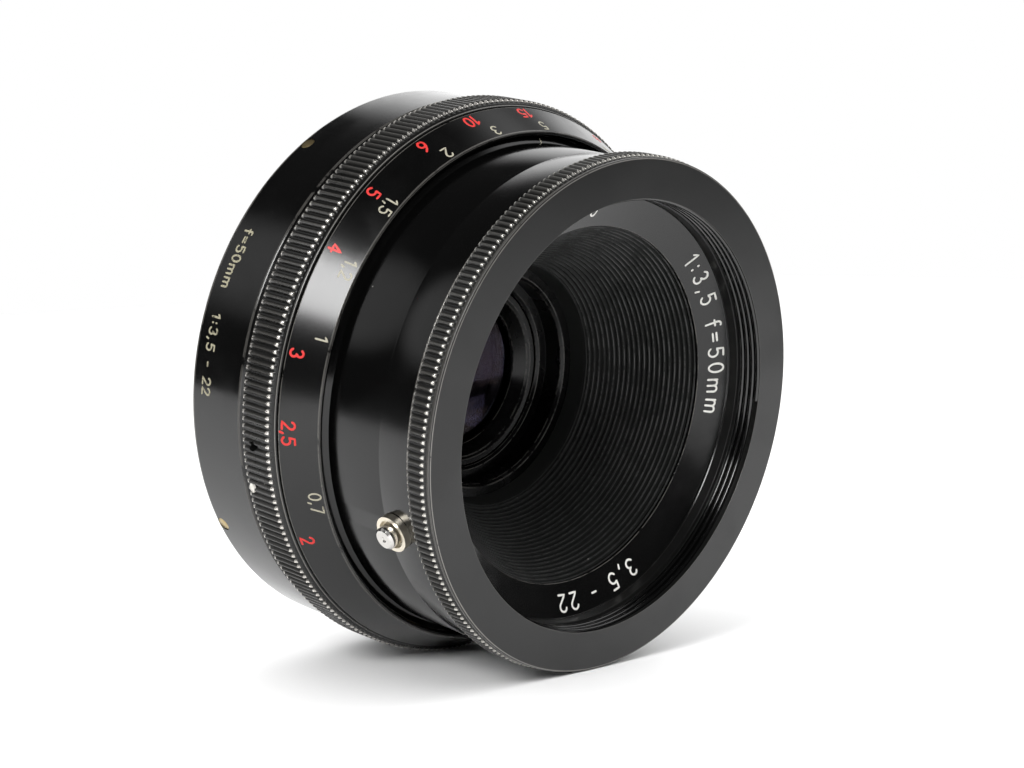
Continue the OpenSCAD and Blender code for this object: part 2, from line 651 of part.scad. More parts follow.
rear_flange();
flange_screws();
rear_collar();
collar_screws();
bearing_housing();
guide_tube();
guide_screws();
guide_keys();
thrust_washer();
focus_grip_ring();
distance_scale_ring();
focusing_helicoid();
helicoid_retaining_ring();
grip_screws();
focus_stop_pin();
front_barrel();
index_skirt();
barrel_helicoid();
lens_tube();
bulkhead_screws();
filter_bezel_ring();
name_ring();
ribbed_baffle();
front_cell();
front_keeper_ring();
front_element();
element_spacer();
second_element();
iris_housing();
iris_screws();
rear_cell();
rear_doublet_front();
rear_doublet_back();
rear_keeper_ring();
release_boss();
aperture_ring();
aperture_drive_fork();
iris_drive_ring();
iris_blade_1();
iris_blade_2();
iris_blade_3();
iris_blade_4();
iris_blade_5();
iris_blade_6();
release_plunger();
release_spring();
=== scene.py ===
"""Visual model of a manual-focus lens head in black lacquer, with knurled and engraved rings.

Stations run forward along -Y from the rear mounting face, and clock angles run clockwise from +Z
as seen from the front. Sizes in the classes are millimetres, and every mesh is made in metres.
"""

import logging
import math
from collections.abc import Callable, Iterable, Mapping, Sequence
from dataclasses import dataclass, field
from enum import Enum
from functools import cache
from typing import ClassVar
import bmesh
import bpy
from mathutils import Matrix, Vector


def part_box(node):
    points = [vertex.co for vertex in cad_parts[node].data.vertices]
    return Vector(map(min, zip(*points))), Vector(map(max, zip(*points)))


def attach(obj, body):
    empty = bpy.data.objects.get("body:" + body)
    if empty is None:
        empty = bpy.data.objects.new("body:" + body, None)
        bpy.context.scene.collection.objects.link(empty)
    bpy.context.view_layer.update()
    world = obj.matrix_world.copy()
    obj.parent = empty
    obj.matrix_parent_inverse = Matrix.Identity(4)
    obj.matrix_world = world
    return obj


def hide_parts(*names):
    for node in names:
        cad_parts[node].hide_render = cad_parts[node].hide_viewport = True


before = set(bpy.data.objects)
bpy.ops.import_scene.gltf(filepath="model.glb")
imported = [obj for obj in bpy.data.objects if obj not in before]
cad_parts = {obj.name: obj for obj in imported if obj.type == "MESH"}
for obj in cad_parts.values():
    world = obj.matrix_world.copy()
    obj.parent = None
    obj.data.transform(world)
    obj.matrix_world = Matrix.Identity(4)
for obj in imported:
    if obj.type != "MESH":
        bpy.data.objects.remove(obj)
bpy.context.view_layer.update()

LOG = logging.getLogger("lens")
MM = 0.001
SMOOTH_ANGLE = math.radians(38)
RING_SEGMENTS = 320
TIP = 1e-5
MERGE = 1e-7

Point2 = tuple[float, float]
Colour = tuple[float, float, float]
Hole = tuple[Vector, Vector, float]
Placement = Callable[[float, float, float], Vector]


def on_axis(radius: float, station: float, clock: float) -> Vector:
    """Point given in lens terms.

    Args:
        radius: Distance from the optical axis, in millimetres.
        station: Distance in front of the mounting face, in millimetres.
        clock: Clock angle in degrees.

    Returns:
        The point in metres.
    """
    turn = math.radians(clock)
    return Vector((radius * math.sin(turn), -station, radius * math.cos(turn))) * MM


@dataclass(frozen=True)
class Span:
    """Outer radius and the two end stations of a CAD node, in millimetres."""

    radius: float
    rear: float
    front: float

    @classmethod
    def of(cls, node: str) -> "Span":
        """Reads the span of a CAD node from its box."""
        low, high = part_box(node)
        radius = max(high.x, high.z, -low.x, -low.z)
        return cls(radius / MM, -high.y / MM, -low.y / MM)


# ---- Shader node helpers ----------------------------------------------------------------------


class Slot(Enum):
    """Material slots of the record."""

    GLOSS = "gloss_black"
    KNURL = "knurl_black"
    BEZEL = "satin_bezel"
    NAME = "name_black"
    BAFFLE = "baffle_black"
    INNER = "inner_black"
    BRASS = "brass"
    ALLOY = "plain_alloy"
    STEEL = "steel"
    GRIP_SCREW = "grip_screw"
    BLADE = "blade"
    GLASS = "coated_glass"


class NodeGraph:
    """Adds and links nodes in a shader or geometry tree."""

    def __init__(self, tree: bpy.types.NodeTree) -> None:
        """Wraps a node tree."""
        self.tree = tree

    def add(self, kind: str, feeds: Mapping[int | str, object] | None = None,
            **settings: object) -> bpy.types.Node:
        """Adds a node.

        Args:
            kind: Type of the node.
            feeds: Socket or plain value for its inputs, by name or number.
            settings: Its plain properties.

        Returns:
            The node.
        """
        node = self.tree.nodes.new(kind)
        for name, value in settings.items():
            setattr(node, name, value)
        for key, value in (feeds or {}).items():
            self.feed(node.inputs[key], value)
        return node

    def feed(self, socket: bpy.types.NodeSocket, value: object) -> None:
        """Links an output to a socket, or sets the socket to a plain value."""
        if isinstance(value, bpy.types.NodeSocket):
            self.tree.links.new(value, socket)
        else:
            socket.default_value = value

    def math(self, operation: str, *values: object, clamp: bool = False) -> bpy.types.NodeSocket:
        """Adds a Math node.

        Args:
            operation: Name of the operation.
            values: Sockets or numbers for its inputs.
            clamp: Whether the result is held between 0 and 1.

        Returns:
            The result socket.
        """
        feeds = dict(enumerate(values))
        return self.add("ShaderNodeMath", feeds, operation=operation, use_clamp=clamp).outputs[0]

    def times(self, first: object, second: object, clamp: bool = False) -> bpy.types.NodeSocket:
        """Product of two values."""
        return self.math("MULTIPLY", first, second, clamp=clamp)

    def hypot(self, x: object, z: object) -> bpy.types.NodeSocket:
        """Distance from the optical axis."""
        return self.math("SQRT", self.math("ADD", self.times(x, x), self.times(z, z)))

    def split(self, vector: object) -> Sequence[bpy.types.NodeSocket]:
        """The three parts of a vector."""
        return self.add("ShaderNodeSeparateXYZ", {0: vector}).outputs

    def join(self, x: object = 0.0, y: object = 0.0, z: object = 0.0) -> bpy.types.NodeSocket:
        """A vector from its three parts."""
        return self.add("ShaderNodeCombineXYZ", {0: x, 1: y, 2: z}).outputs[0]

    def ramp(self, value: object, low: object, high: object, out_low: float = 0.0,
             out_high: float = 1.0) -> bpy.types.NodeSocket:
        """Smooth step of a value from one range to another.

        Args:
            value: Socket or number to map.
            low: Value that gives out_low.
            high: Value that gives out_high.
            out_low: Result at and below low.
            out_high: Result at and above high.

        Returns:
            The result socket.
        """
        feeds = {"Value": value, "From Min": low, "From Max": high, "To Min": out_low,
                 "To Max": out_high}
        node = self.add("ShaderNodeMapRange", feeds, interpolation_type="SMOOTHSTEP")
        return node.outputs["Result"]

    def noise(self, vector: object, scale: object, detail: float = 3.0,
              roughness: float = 0.55) -> bpy.types.NodeSocket:
        """Adds a noise texture and returns its factor."""
        feeds = {"Vector": vector, "Scale": scale, "Detail": detail, "Roughness": roughness}
        return self.add("ShaderNodeTexNoise", feeds).outputs["Fac"]

    def blend(self, factor: object, first: object, second: object) -> bpy.types.NodeSocket:
        """Mixes two colours by a factor and returns the colour."""
        feeds = {0: factor, 6: first, 7: second}
        return self.add("ShaderNodeMix", feeds, data_type="RGBA").outputs[2]


class ShaderGroups:
    """The effects that several finishes share, each one node group built once."""

    @staticmethod
    def _start(name: str, inputs: Mapping[str, str],
               outputs: Mapping[str, str]) -> tuple[NodeGraph, dict, dict]:
        """Makes an empty group with its sockets.

        Args:
            name: Name of the group.
            inputs: Kind of each input by name.
            outputs: Kind of each output by name.

        Returns:
            The graph, its inputs by name and its output sockets by name.
        """
        tree = bpy.data.node_groups.new(name, "ShaderNodeTree")
        for side, sockets in (("INPUT", inputs), ("OUTPUT", outputs)):
            for label, kind in sockets.items():
                tree.interface.new_socket(label, in_out=side, socket_type=f"NodeSocket{kind}")
        graph = NodeGraph(tree)
        inside = graph.add("NodeGroupInput").outputs
        outside = graph.add("NodeGroupOutput").inputs
        return graph, {s.name: s for s in inside}, {s.name: s for s in outside}

    @staticmethod
    @cache
    def turned_place() -> bpy.types.NodeTree:
        """Group that lays a point out by its radius and station, in millimetres."""
        g, take, give = ShaderGroups._start("Turned Place", {"Position": "Vector"},
                                            {"Rings": "Vector"})
        x, y, z = g.split(take["Position"])
        g.feed(give["Rings"], g.join(g.times(g.hypot(x, z), 1 / MM), g.times(y, -1 / MM)))
        return g.tree

    @staticmethod
    @cache
    def edge_wear_and_sheen() -> bpy.types.NodeTree:
        """Group that breaks an edge mask up into worn patches, which also carry the painted sheen
        on knurl tops and the painted highlight lines on baffle rib crests.
        """
        g, take, give = ShaderGroups._start(
            "Edge Wear And Sheen", {"Position": "Vector", "Edge": "Float", "Amount": "Float",
                          "Scale": "Float"}, {"Mask": "Float"})
        patch = g.noise(take["Position"], take["Scale"], 5.0, 0.62)
        fine = g.noise(take["Position"], g.times(take["Scale"], 9.0), 2.0)
        broken = g.math("ADD", patch, g.times(fine, 0.35))
        reach = g.math("SUBTRACT", 1.12, take["Amount"])
        worn = g.ramp(broken, reach, g.math("ADD", reach, 0.16))
        g.feed(give["Mask"], g.times(worn, take["Edge"], clamp=True))
        return g.tree

    @staticmethod
    @cache
    def handling() -> bpy.types.NodeTree:
        """Group for smudges left by fingers and for specks of dust."""
        g, take, give = ShaderGroups._start("Handling", {"Position": "Vector", "Dust": "Float"},
                                            {"Smudge": "Float", "Specks": "Float"})
        smudge = g.noise(take["Position"], 95.0, 4.0, 0.6)
        g.feed(give["Smudge"], g.ramp(smudge, 0.38, 0.68))
        cells = g.add("ShaderNodeTexVoronoi", {"Vector": take["Position"], "Scale": 520.0},
                      feature="F1")
        pick = g.add("ShaderNodeSeparateColor", {0: cells.outputs["Color"]}).outputs
        chosen = g.math("LESS_THAN", pick[0], take["Dust"])
        size = g.math("ADD", 0.03, g.times(pick[1], 0.06))
        dot = g.ramp(cells.outputs["Distance"], size, 0.0)
        g.feed(give["Specks"], g.times(dot, chosen, clamp=True))
        return g.tree

    @staticmethod
    @cache
    def surface_relief() -> bpy.types.NodeTree:
        """Group that gives the height of turning marks and of a fine grain."""
        g, take, give = ShaderGroups._start(
            "Surface Relief", {"Position": "Vector", "Rings": "Vector", "Turning": "Float",
                               "Grain": "Float", "Grain Scale": "Float"}, {"Height": "Float"})
        turning = g.times(g.noise(take["Rings"], 11.0), take["Turning"])
        grain = g.times(g.noise(take["Position"], take["Grain Scale"]), take["Grain"])
        g.feed(give["Height"], g.math("ADD", turning, grain))
        return g.tree


# ---- Finishes ---------------------------------------------------------------------------------


@dataclass(frozen=True)
class Surface:
    """Base of every finish: its name and a slot of the record, which is only stored here."""

    name: str
    slot: Slot

    def build(self) -> bpy.types.Material:
        """Makes the material, or returns it if it is already there."""
        material = bpy.data.materials.get(self.name)
        if not material:
            material = bpy.data.materials.new(self.name)
            material.use_nodes = True
            g = NodeGraph(material.node_tree)
            shader = material.node_tree.nodes["Principled BSDF"]
            position = g.add("ShaderNodeTexCoord").outputs["Object"]
            for label, value in self.look(g, position).items():
                g.feed(shader.inputs[label], value)
        return material

    def look(self, g: NodeGraph, position: bpy.types.NodeSocket) -> dict[str, object]:
        """Works out what feeds the shader.

        Args:
            g: Graph of the material.
            position: Place on the object.

        Returns:
            Socket or plain value for each shader input.
        """
        raise NotImplementedError


@dataclass(frozen=True)
class Finish(Surface):
    """A painted or bare metal surface, worn through to another colour along its edges; that colour
    also lays a painted sheen on knurl tops and painted highlight lines on baffle rib crests.
    """

    DUST_COLOUR: ClassVar[tuple[float, ...]] = (0.55, 0.54, 0.5, 1.0)
    DUST_ROUGHNESS: ClassVar[float] = 0.4
    BUMP_DEPTH: ClassVar[float] = 0.05 * MM

    colour: Colour
    worn_and_sheen_colour: Colour = (0.42, 0.4, 0.37)
    roughness: tuple[float, float] = (0.22, 0.34)
    worn_roughness: float = 0.3
    metal: bool = False
    wear: float = 0.55
    wear_scale: float = 420.0
    dust: float = 0.03
    dust_strength: float = 0.5
    turning: float = 0.15
    grain: float = 0.25
    grain_scale: float = 2600.0
    bump: float = 0.12
    specular: float = 0.5
    mottle: float = 0.0

    def look(self, g: NodeGraph, position: bpy.types.NodeSocket) -> dict[str, object]:
        """Mixes paint, wear with its painted sheen and highlight lines, smudges, dust and relief.
        """
        place = self._group(g, ShaderGroups.turned_place(), Position=position)
        edge = g.add("ShaderNodeAttribute", attribute_name="edge")
        # Edge mask: wear, and on knurl tops and rib crests also painted sheen and highlight lines.
        mask = self._group(g, ShaderGroups.edge_wear_and_sheen(), Position=position, Scale=self.wear_scale,
                           Edge=edge.outputs["Fac"], Amount=self.wear)["Mask"]
        touch = self._group(g, ShaderGroups.handling(), Position=position, Dust=self.dust)
        relief = self._group(g, ShaderGroups.surface_relief(), Position=position,
                             Rings=place["Rings"], Turning=self.turning, Grain=self.grain,
                             Grain_Scale=self.grain_scale)
        paint: object = (*self.colour, 1.0)
        if self.mottle:
            pale = tuple(min(1.0, c + self.mottle) for c in self.colour)
            paint = g.blend(g.ramp(g.noise(position, 260.0, 4.0), 0.35, 0.7), paint, (*pale, 1.0))
        colour = g.blend(mask, paint, (*self.worn_and_sheen_colour, 1.0))
        specks = g.times(touch["Specks"], self.dust_strength)
        gloss = g.ramp(touch["Smudge"], 0.0, 1.0, *self.roughness)
        dusty = g.math("ADD", gloss, g.times(specks, self.DUST_ROUGHNESS))
        rough = g.add("ShaderNodeMix", {0: mask, 2: dusty, 3: self.worn_roughness},
                      data_type="FLOAT")
        bump = g.add("ShaderNodeBump", {"Strength": self.bump, "Distance": self.BUMP_DEPTH,
                                        "Height": relief["Height"]})
        return {"Base Color": g.blend(specks, colour, self.DUST_COLOUR),
                "Roughness": rough.outputs[0], "Metallic": 1.0 if self.metal else mask,
                "Specular IOR Level": self.specular, "Normal": bump.outputs[0]}

    @staticmethod
    def _group(g: NodeGraph, tree: bpy.types.NodeTree,
               **values: object) -> Mapping[str, bpy.types.NodeSocket]:
        """Places a node group, feeds its inputs by name and returns its outputs."""
        feeds = {label.replace("_", " "): value for label, value in values.items()}
        return g.add("ShaderNodeGroup", feeds, node_tree=tree).outputs


@dataclass(frozen=True)
class CoatedGlass(Surface):
    """Optical glass with a tinted anti-reflection coating."""

    tint: Colour
    body: Colour
    ior: float

    def look(self, g: NodeGraph, position: bpy.types.NodeSocket) -> dict[str, object]:
        """Clear body, tinted reflection and a trace of haze."""
        return {"Base Color": (*self.body, 1.0), "Transmission Weight": 1.0, "Metallic": 0.0,
                "IOR": self.ior, "Specular Tint": (*self.tint, 1.0),
                "Roughness": g.ramp(g.noise(position, 90.0, 2.0), 0.4, 0.8, 0.0, 0.012)}


def grey(level: float) -> Colour:
    """Neutral colour."""
    return level, level, level


def filling(name: str, slot: Slot, colour: Colour, worn: Colour, wear: float,
            wear_scale: float = 1500.0, roughness: tuple[float, float] = (0.5, 0.65)) -> Finish:
    """Paint that fills engraved characters.

    Args:
        name: Name of the material.
        slot: Slot of the record.
        colour: Colour of the paint.
        worn: Colour where it is worn.
        wear: Amount of wear.
        wear_scale: Fineness of the worn patches.
        roughness: Roughness of clean and of smudged paint.

    Returns:
        The finish.
    """
    return Finish(name, slot, colour, worn, roughness, wear=wear, wear_scale=wear_scale,
                  grain=0.8, dust=0.0, bump=0.3)


class Finishes:
    """The finishes of this lens."""

    COLLAR = Finish("Lacquer collar", Slot.GLOSS, grey(0.0015), roughness=(0.13, 0.22),
                    wear=0.62, dust=0.035, bump=0.08)
    BARREL = Finish("Lacquer barrel", Slot.GLOSS, grey(0.0012), roughness=(0.12, 0.2), wear=0.6,
                    dust=0.05, bump=0.08)
    SCALE = Finish("Lacquer scale", Slot.GLOSS, grey(0.0012), roughness=(0.19, 0.27), wear=0.64,
                   dust=0.02, bump=0.08)
    GRIP = Finish("Knurl grip", Slot.KNURL, (0.004, 0.004, 0.0038), (0.78, 0.75, 0.7),
                  (0.26, 0.4), 0.24, wear=0.9, wear_scale=700.0, dust=0.1, grain=0.6)
    APERTURE = Finish("Knurl aperture", Slot.KNURL, (0.004, 0.004, 0.0038), (0.7, 0.68, 0.63),
                      (0.28, 0.42), 0.26, wear=0.84, wear_scale=800.0, dust=0.08, grain=0.6)
    BEZEL = Finish("Satin bezel", Slot.BEZEL, (0.006, 0.006, 0.0058), (0.5, 0.48, 0.45),
                   (0.3, 0.4), wear=0.72, dust=0.04, turning=0.5, bump=0.16)
    NAME = Finish("Satin name ring", Slot.NAME, grey(0.003), roughness=(0.15, 0.24), wear=0.6,
                  dust=0.02, turning=0.4)
    # Its worn colour paints the highlight lines on the rib crests, besides the slight wear at the
    # cone's corners.
    BAFFLE = Finish("Matt baffle", Slot.BAFFLE, (0.012, 0.0125, 0.012), grey(0.08), (0.42, 0.56),
                    0.45, dust=0.16, dust_strength=0.7, grain=0.5, specular=0.22)
    INNER = Finish("Inner black", Slot.INNER, grey(0.0015), roughness=(0.18, 0.3), dust=0.02,
                   turning=0.4, specular=0.3)
    THREAD = Finish("Gloss thread", Slot.INNER, grey(0.002), roughness=(0.12, 0.2), wear=0.5,
                    dust=0.02, turning=0.3, specular=0.75)
    BRASS = Finish("Turned brass", Slot.BRASS, (0.55, 0.4, 0.17), (0.7, 0.55, 0.3), (0.3, 0.46),
                   metal=True, turning=0.8, grain=0.4, bump=0.3, mottle=0.05)
    GRUB = Finish("Grub screw brass", Slot.BRASS, (0.42, 0.33, 0.17), (0.7, 0.58, 0.36),
                  (0.35, 0.5), metal=True, grain=0.6, bump=0.3, mottle=0.08)
    BOSS = Finish("Plated boss", Slot.BRASS, (0.74, 0.68, 0.56), (0.6, 0.42, 0.18), (0.3, 0.48),
                  metal=True, grain=0.4, bump=0.3, wear=0.7, wear_scale=900.0, mottle=0.1)
    ALLOY = Finish("Turned alloy", Slot.ALLOY, (0.5, 0.5, 0.51), roughness=(0.3, 0.45),
                   metal=True, turning=0.9, bump=0.3, mottle=0.04)
    STEEL = Finish("Bright steel", Slot.STEEL, (0.62, 0.6, 0.57), roughness=(0.18, 0.32),
                   metal=True, grain=0.4, bump=0.25, mottle=0.06)
    GRIP_SCREW = Finish("Blackened screw", Slot.GRIP_SCREW, grey(0.02), roughness=(0.35, 0.5),
                        metal=True, grain=0.5, bump=0.3, mottle=0.01)
    BLADE = Finish("Blued blade", Slot.BLADE, (0.05, 0.05, 0.058), roughness=(0.3, 0.42),
                   metal=True, grain=0.5, bump=0.25, mottle=0.01)
    WHITE_FILL = filling("White filling", Slot.NAME, (0.88, 0.87, 0.82), (0.4, 0.39, 0.36), 0.35,
                         420.0)
    OLD_FILL = filling("Yellowed filling", Slot.GLOSS, (0.27, 0.25, 0.175), (0.06, 0.055, 0.04),
                       0.4)
    CREAM_FILL = filling("Cream filling", Slot.GLOSS, (0.32, 0.3, 0.23), (0.12, 0.11, 0.09), 0.38)
    RED_FILL = filling("Red filling", Slot.GLOSS, (0.55, 0.016, 0.013), (0.25, 0.02, 0.02), 0.35,
                       roughness=(0.42, 0.55))
    PAINT_SPOT = filling("Paint spot", Slot.KNURL, (0.62, 0.6, 0.55), (0.3, 0.29, 0.26), 0.4,
                         420.0)
    FRONT_GLASS = CoatedGlass("Violet coated glass", Slot.GLASS, (0.42, 0.36, 0.6),
                              (0.42, 0.43, 0.47), 1.55)
    INNER_GLASS = CoatedGlass("Amber coated glass", Slot.GLASS, (0.9, 0.62, 0.5),
                              (0.6, 0.6, 0.62), 1.5)


# ---- Mesh helpers -----------------------------------------------------------------------------


@dataclass(frozen=True)
class Corner:
    """Corner of a turned section: its place, the size of its rounding and how worn it is.

    The wear of the rounding fades to the flat wear on both sides of it; on knurl tops the flat wear
    is partly a painted sheen.
    """

    radius: float
    station: float
    fillet: float = 0.0
    wear: float = 0.0
    # On the knurl tops this lightens the whole top: partly wear, partly a painted sheen.
    flat: float = 0.0


class Section:
    """Closed outline of a turned ring, with rounded and worn corners."""

    HOLD = 1.35

    def __init__(self, corners: Iterable[Corner], steps: int = 3) -> None:
        """Keeps the corners and the number of steps in each rounding."""
        self.corners = list(corners)
        self.steps = steps

    def outline(self) -> list[tuple[float, float, float]]:
        """Works the roundings out.

        Returns:
            Radius, station and edge value of each point of the outline.
        """
        points: list[tuple[float, float, float]] = []
        count = len(self.corners)
        for i, corner in enumerate(self.corners):
            here = Vector((corner.radius, corner.station))
            if not corner.fillet:
                points.append((*here, corner.wear))
                continue
            sides = []
            for other in (self.corners[i - 1], self.corners[(i + 1) % count]):
                step = Vector((other.radius, other.station)) - here
                sides.append((step.normalized(), min(corner.fillet, 0.36 * step.length)))
            (back, b), (ahead, a) = sides
            points.append((*(here + back * b * self.HOLD), corner.flat))
            for k in range(self.steps + 1):
                t = k / self.steps
                spot = (here + back * b) * (1 - t) ** 2 + here * 2 * t * (1 - t)
                spot += (here + ahead * a) * t * t
                points.append((*spot, corner.wear))
            points.append((*(here + ahead * a * self.HOLD), corner.flat))
        return points

    def spin(self, name: str, segments: int = RING_SEGMENTS) -> bpy.types.Mesh:
        """Turns the section round the optical axis.

        Args:
            name: Name of the mesh.
            segments: Number of steps round the axis.

        Returns:
            A closed mesh with an edge attribute.
        """
        outline = self.outline()
        count = len(outline)
        verts: list[Vector] = []
        edge: list[float] = []
        for k in range(segments):
            for radius, station, worn in outline:
                verts.append(on_axis(radius, station, 360 * k / segments))
                edge.append(worn)
        faces = []
        for k in range(segments):
            a, b = k * count, (k + 1) % segments * count
            for i in range(count):
                j = (i + 1) % count
                faces.append((a + i, a + j, b + j, b + i))
        mesh = bpy.data.meshes.new(name)
        mesh.from_pydata(verts, [], faces)
        mesh.attributes.new("edge", "FLOAT", "POINT").data.foreach_set("value", edge)
        return MeshWork.tidy(mesh)


class MeshWork:
    """Finishing steps for meshes."""

    @staticmethod
    def tidy(mesh: bpy.types.Mesh) -> bpy.types.Mesh:
        """Merges doubles, points the faces outwards and sets smooth shading."""
        work = bmesh.new()
        work.from_mesh(mesh)
        bmesh.ops.remove_doubles(work, verts=work.verts, dist=MERGE)
        bmesh.ops.recalc_face_normals(work, faces=work.faces)
        work.to_mesh(mesh)
        work.free()
        return MeshWork.smooth(mesh)

    @staticmethod
    def smooth(mesh: bpy.types.Mesh) -> bpy.types.Mesh:
        """Smooth shading that stays sharp at real corners."""
        mesh.shade_smooth()
        mesh.set_sharp_from_angle(angle=SMOOTH_ANGLE)
        return mesh

    @staticmethod
    def piece(name: str, mesh: bpy.types.Mesh, finish: Surface, body: str,
              replaced: Sequence[str]) -> None:
        """Makes the finished piece and ties it to the frame.

        Args:
            name: Name of the piece.
            mesh: Its mesh, in place.
            finish: Its finish.
            body: CAD body that it rides on.
            replaced: CAD nodes that it stands for.
        """
        mesh.name = name
        mesh.materials.clear()
        mesh.materials.append(finish.build())
        obj = bpy.data.objects.new(name, mesh)
        bpy.context.scene.collection.objects.link(obj)
        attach(obj, body)
        if replaced:
            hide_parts(*replaced)
        LOG.info("%s: %d faces on %s", name, len(mesh.polygons), body)

    @staticmethod
    def drill(mesh: bpy.types.Mesh, holes: Sequence[Hole], depth: float) -> bpy.types.Mesh:
        """Cuts blind round holes into a mesh.

        Args:
            mesh: The mesh to cut.
            holes: Mouth, outward direction and radius of each hole, in metres.
            depth: Depth of the holes in metres.

        Returns:
            The cut mesh.
        """
        cutters = bmesh.new()
        for mouth, outward, radius in holes:
            turn = outward.to_track_quat("Z", "Y").to_matrix().to_4x4()
            lift = Matrix.Translation(mouth - outward * (depth / 2 - MM))
            bmesh.ops.create_cone(cutters, cap_ends=True, segments=40, radius1=radius,
                                  radius2=radius, depth=depth + 2 * MM, matrix=lift @ turn)
        cut_mesh = bpy.data.meshes.new("cutters")
        cutters.to_mesh(cut_mesh)
        cutters.free()
        cutter = bpy.data.objects.new("cutters", cut_mesh)
        body = bpy.data.objects.new("drilled", mesh)
        for obj in (cutter, body):
            bpy.context.scene.collection.objects.link(obj)
        cut = body.modifiers.new("holes", "BOOLEAN")
        cut.operation, cut.solver, cut.object = "DIFFERENCE", "EXACT", cutter
        graph = bpy.context.evaluated_depsgraph_get()
        result = bpy.data.meshes.new_from_object(body.evaluated_get(graph))
        bpy.data.objects.remove(body)
        bpy.data.objects.remove(cutter)
        return MeshWork.smooth(result)


class GeometryTree:
    """A geometry node tree with named inputs, run once on a mesh."""

    UPRIGHT = (math.radians(-90), 0.0, 0.0)

    def __init__(self, name: str, **inputs: str) -> None:
        """Makes the tree and its sockets, from the kind of each input by name."""
        self.tree = bpy.data.node_groups.new(name, "GeometryNodeTree")
        face = self.tree.interface
        for label, kind in {"Geometry": "Geometry", **inputs, "Material": "Material"}.items():
            face.new_socket(label.replace("_", " "), in_out="INPUT",
                            socket_type=f"NodeSocket{kind}")
        face.new_socket("Geometry", in_out="OUTPUT", socket_type="NodeSocketGeometry")
        self.graph = NodeGraph(self.tree)
        self.take = self.graph.add("NodeGroupInput").outputs
        self.give = self.graph.add("NodeGroupOutput").inputs

    def index(self) -> bpy.types.NodeSocket:
        """Number of the point."""
        return self.graph.add("GeometryNodeInputIndex").outputs[0]

    def copies(self, places: bpy.types.NodeSocket, shape: bpy.types.NodeSocket,
               **turned: bpy.types.NodeSocket) -> bpy.types.NodeSocket:
        """Puts Count copies of a shape in a row of places.

        Args:
            places: Place of each copy.
            shape: Geometry of one copy.
            turned: Rotation or Scale of each copy.

        Returns:
            The instances.
        """
        g = self.graph
        line = g.add("GeometryNodeMeshLine", {"Count": self.take["Count"]}, mode="OFFSET")
        put = g.add("GeometryNodeSetPosition", {"Geometry": line.outputs[0], "Position": places})
        feeds = {"Points": put.outputs[0], "Instance": shape, **turned}
        return g.add("GeometryNodeInstanceOnPoints", feeds).outputs[0]

    def finish(self, geometry: bpy.types.NodeSocket) -> None:
        """Ends the tree in Realize Instances and Set Material."""
        g = self.graph
        real = g.add("GeometryNodeRealizeInstances", {"Geometry": geometry})
        paint = g.add("GeometryNodeSetMaterial",
                      {"Geometry": real.outputs[0], "Material": self.take["Material"]})
        g.feed(self.give["Geometry"], paint.outputs[0])

    def run(self, mesh: bpy.types.Mesh, finish: Surface, **values: object) -> bpy.types.Mesh:
        """Runs the tree on a mesh.

        Args:
            mesh: Starting mesh.
            finish: Finish of the result.
            values: Value of each named input.

        Returns:
            The plain mesh that the tree makes.
        """
        values["Material"] = finish.build()
        obj = bpy.data.objects.new("work", mesh)
        bpy.context.scene.collection.objects.link(obj)
        modifier = obj.modifiers.new("tree", "NODES")
        modifier.node_group = self.tree
        for item in self.tree.interface.items_tree:
            label = item.name.replace(" ", "_")
            if item.in_out == "INPUT" and label in values:
                modifier[item.identifier] = values[label]
        graph = bpy.context.evaluated_depsgraph_get()
        result = bpy.data.meshes.new_from_object(obj.evaluated_get(graph))
        obj.modifiers.remove(modifier)
        bpy.data.objects.remove(obj)
        return MeshWork.smooth(result)


class KnurlTree(GeometryTree):
    """Cuts straight knurl teeth into the rim of a turned ring."""

    FLANK = 0.15

    def __init__(self) -> None:
        """Builds the tree."""
        super().__init__("Straight Knurl", Teeth="Int", Root_Radius="Float",
                         Tooth_Height="Float")
        g, take = self.graph, self.take
        x, y, z = g.split(g.add("GeometryNodeInputPosition").outputs[0])
        turns = g.math("DIVIDE", g.math("ARCTAN2", x, z), 2 * math.pi)
        wave = g.math("PINGPONG", g.times(turns, take["Teeth"]), 0.5)
        height = g.ramp(wave, 0.25 - self.FLANK, 0.25 + self.FLANK)
        radius = g.hypot(x, z)
        limit = g.math("MULTIPLY_ADD", height, take["Tooth Height"], take["Root Radius"])
        scale = g.math("DIVIDE", g.math("MINIMUM", radius, limit), radius)
        move = g.add("GeometryNodeSetPosition",
                     {"Geometry": take["Geometry"],
                      "Position": g.join(g.times(x, scale), y, g.times(z, scale))})
        old = g.add("GeometryNodeInputNamedAttribute", {"Name": "edge"}, data_type="FLOAT")
        # Clears the edge value in the valleys, so the tooth-end wear and the painted sheen on the
        # tops stay on the teeth.
        hollow = g.math("SUBTRACT", 1.0, g.ramp(height, 0.45, 0.95))
        cut = g.math("GREATER_THAN", radius, g.math("SUBTRACT", take["Root Radius"], 0.02 * MM))
        kept = g.math("SUBTRACT", 1.0, g.times(hollow, cut))
        mark = g.add("GeometryNodeStoreNamedAttribute",
                     {"Geometry": move.outputs[0], "Name": "edge",
                      "Value": g.times(old.outputs[0], kept)},
                     data_type="FLOAT", domain="POINT")
        self.finish(mark.outputs[0])


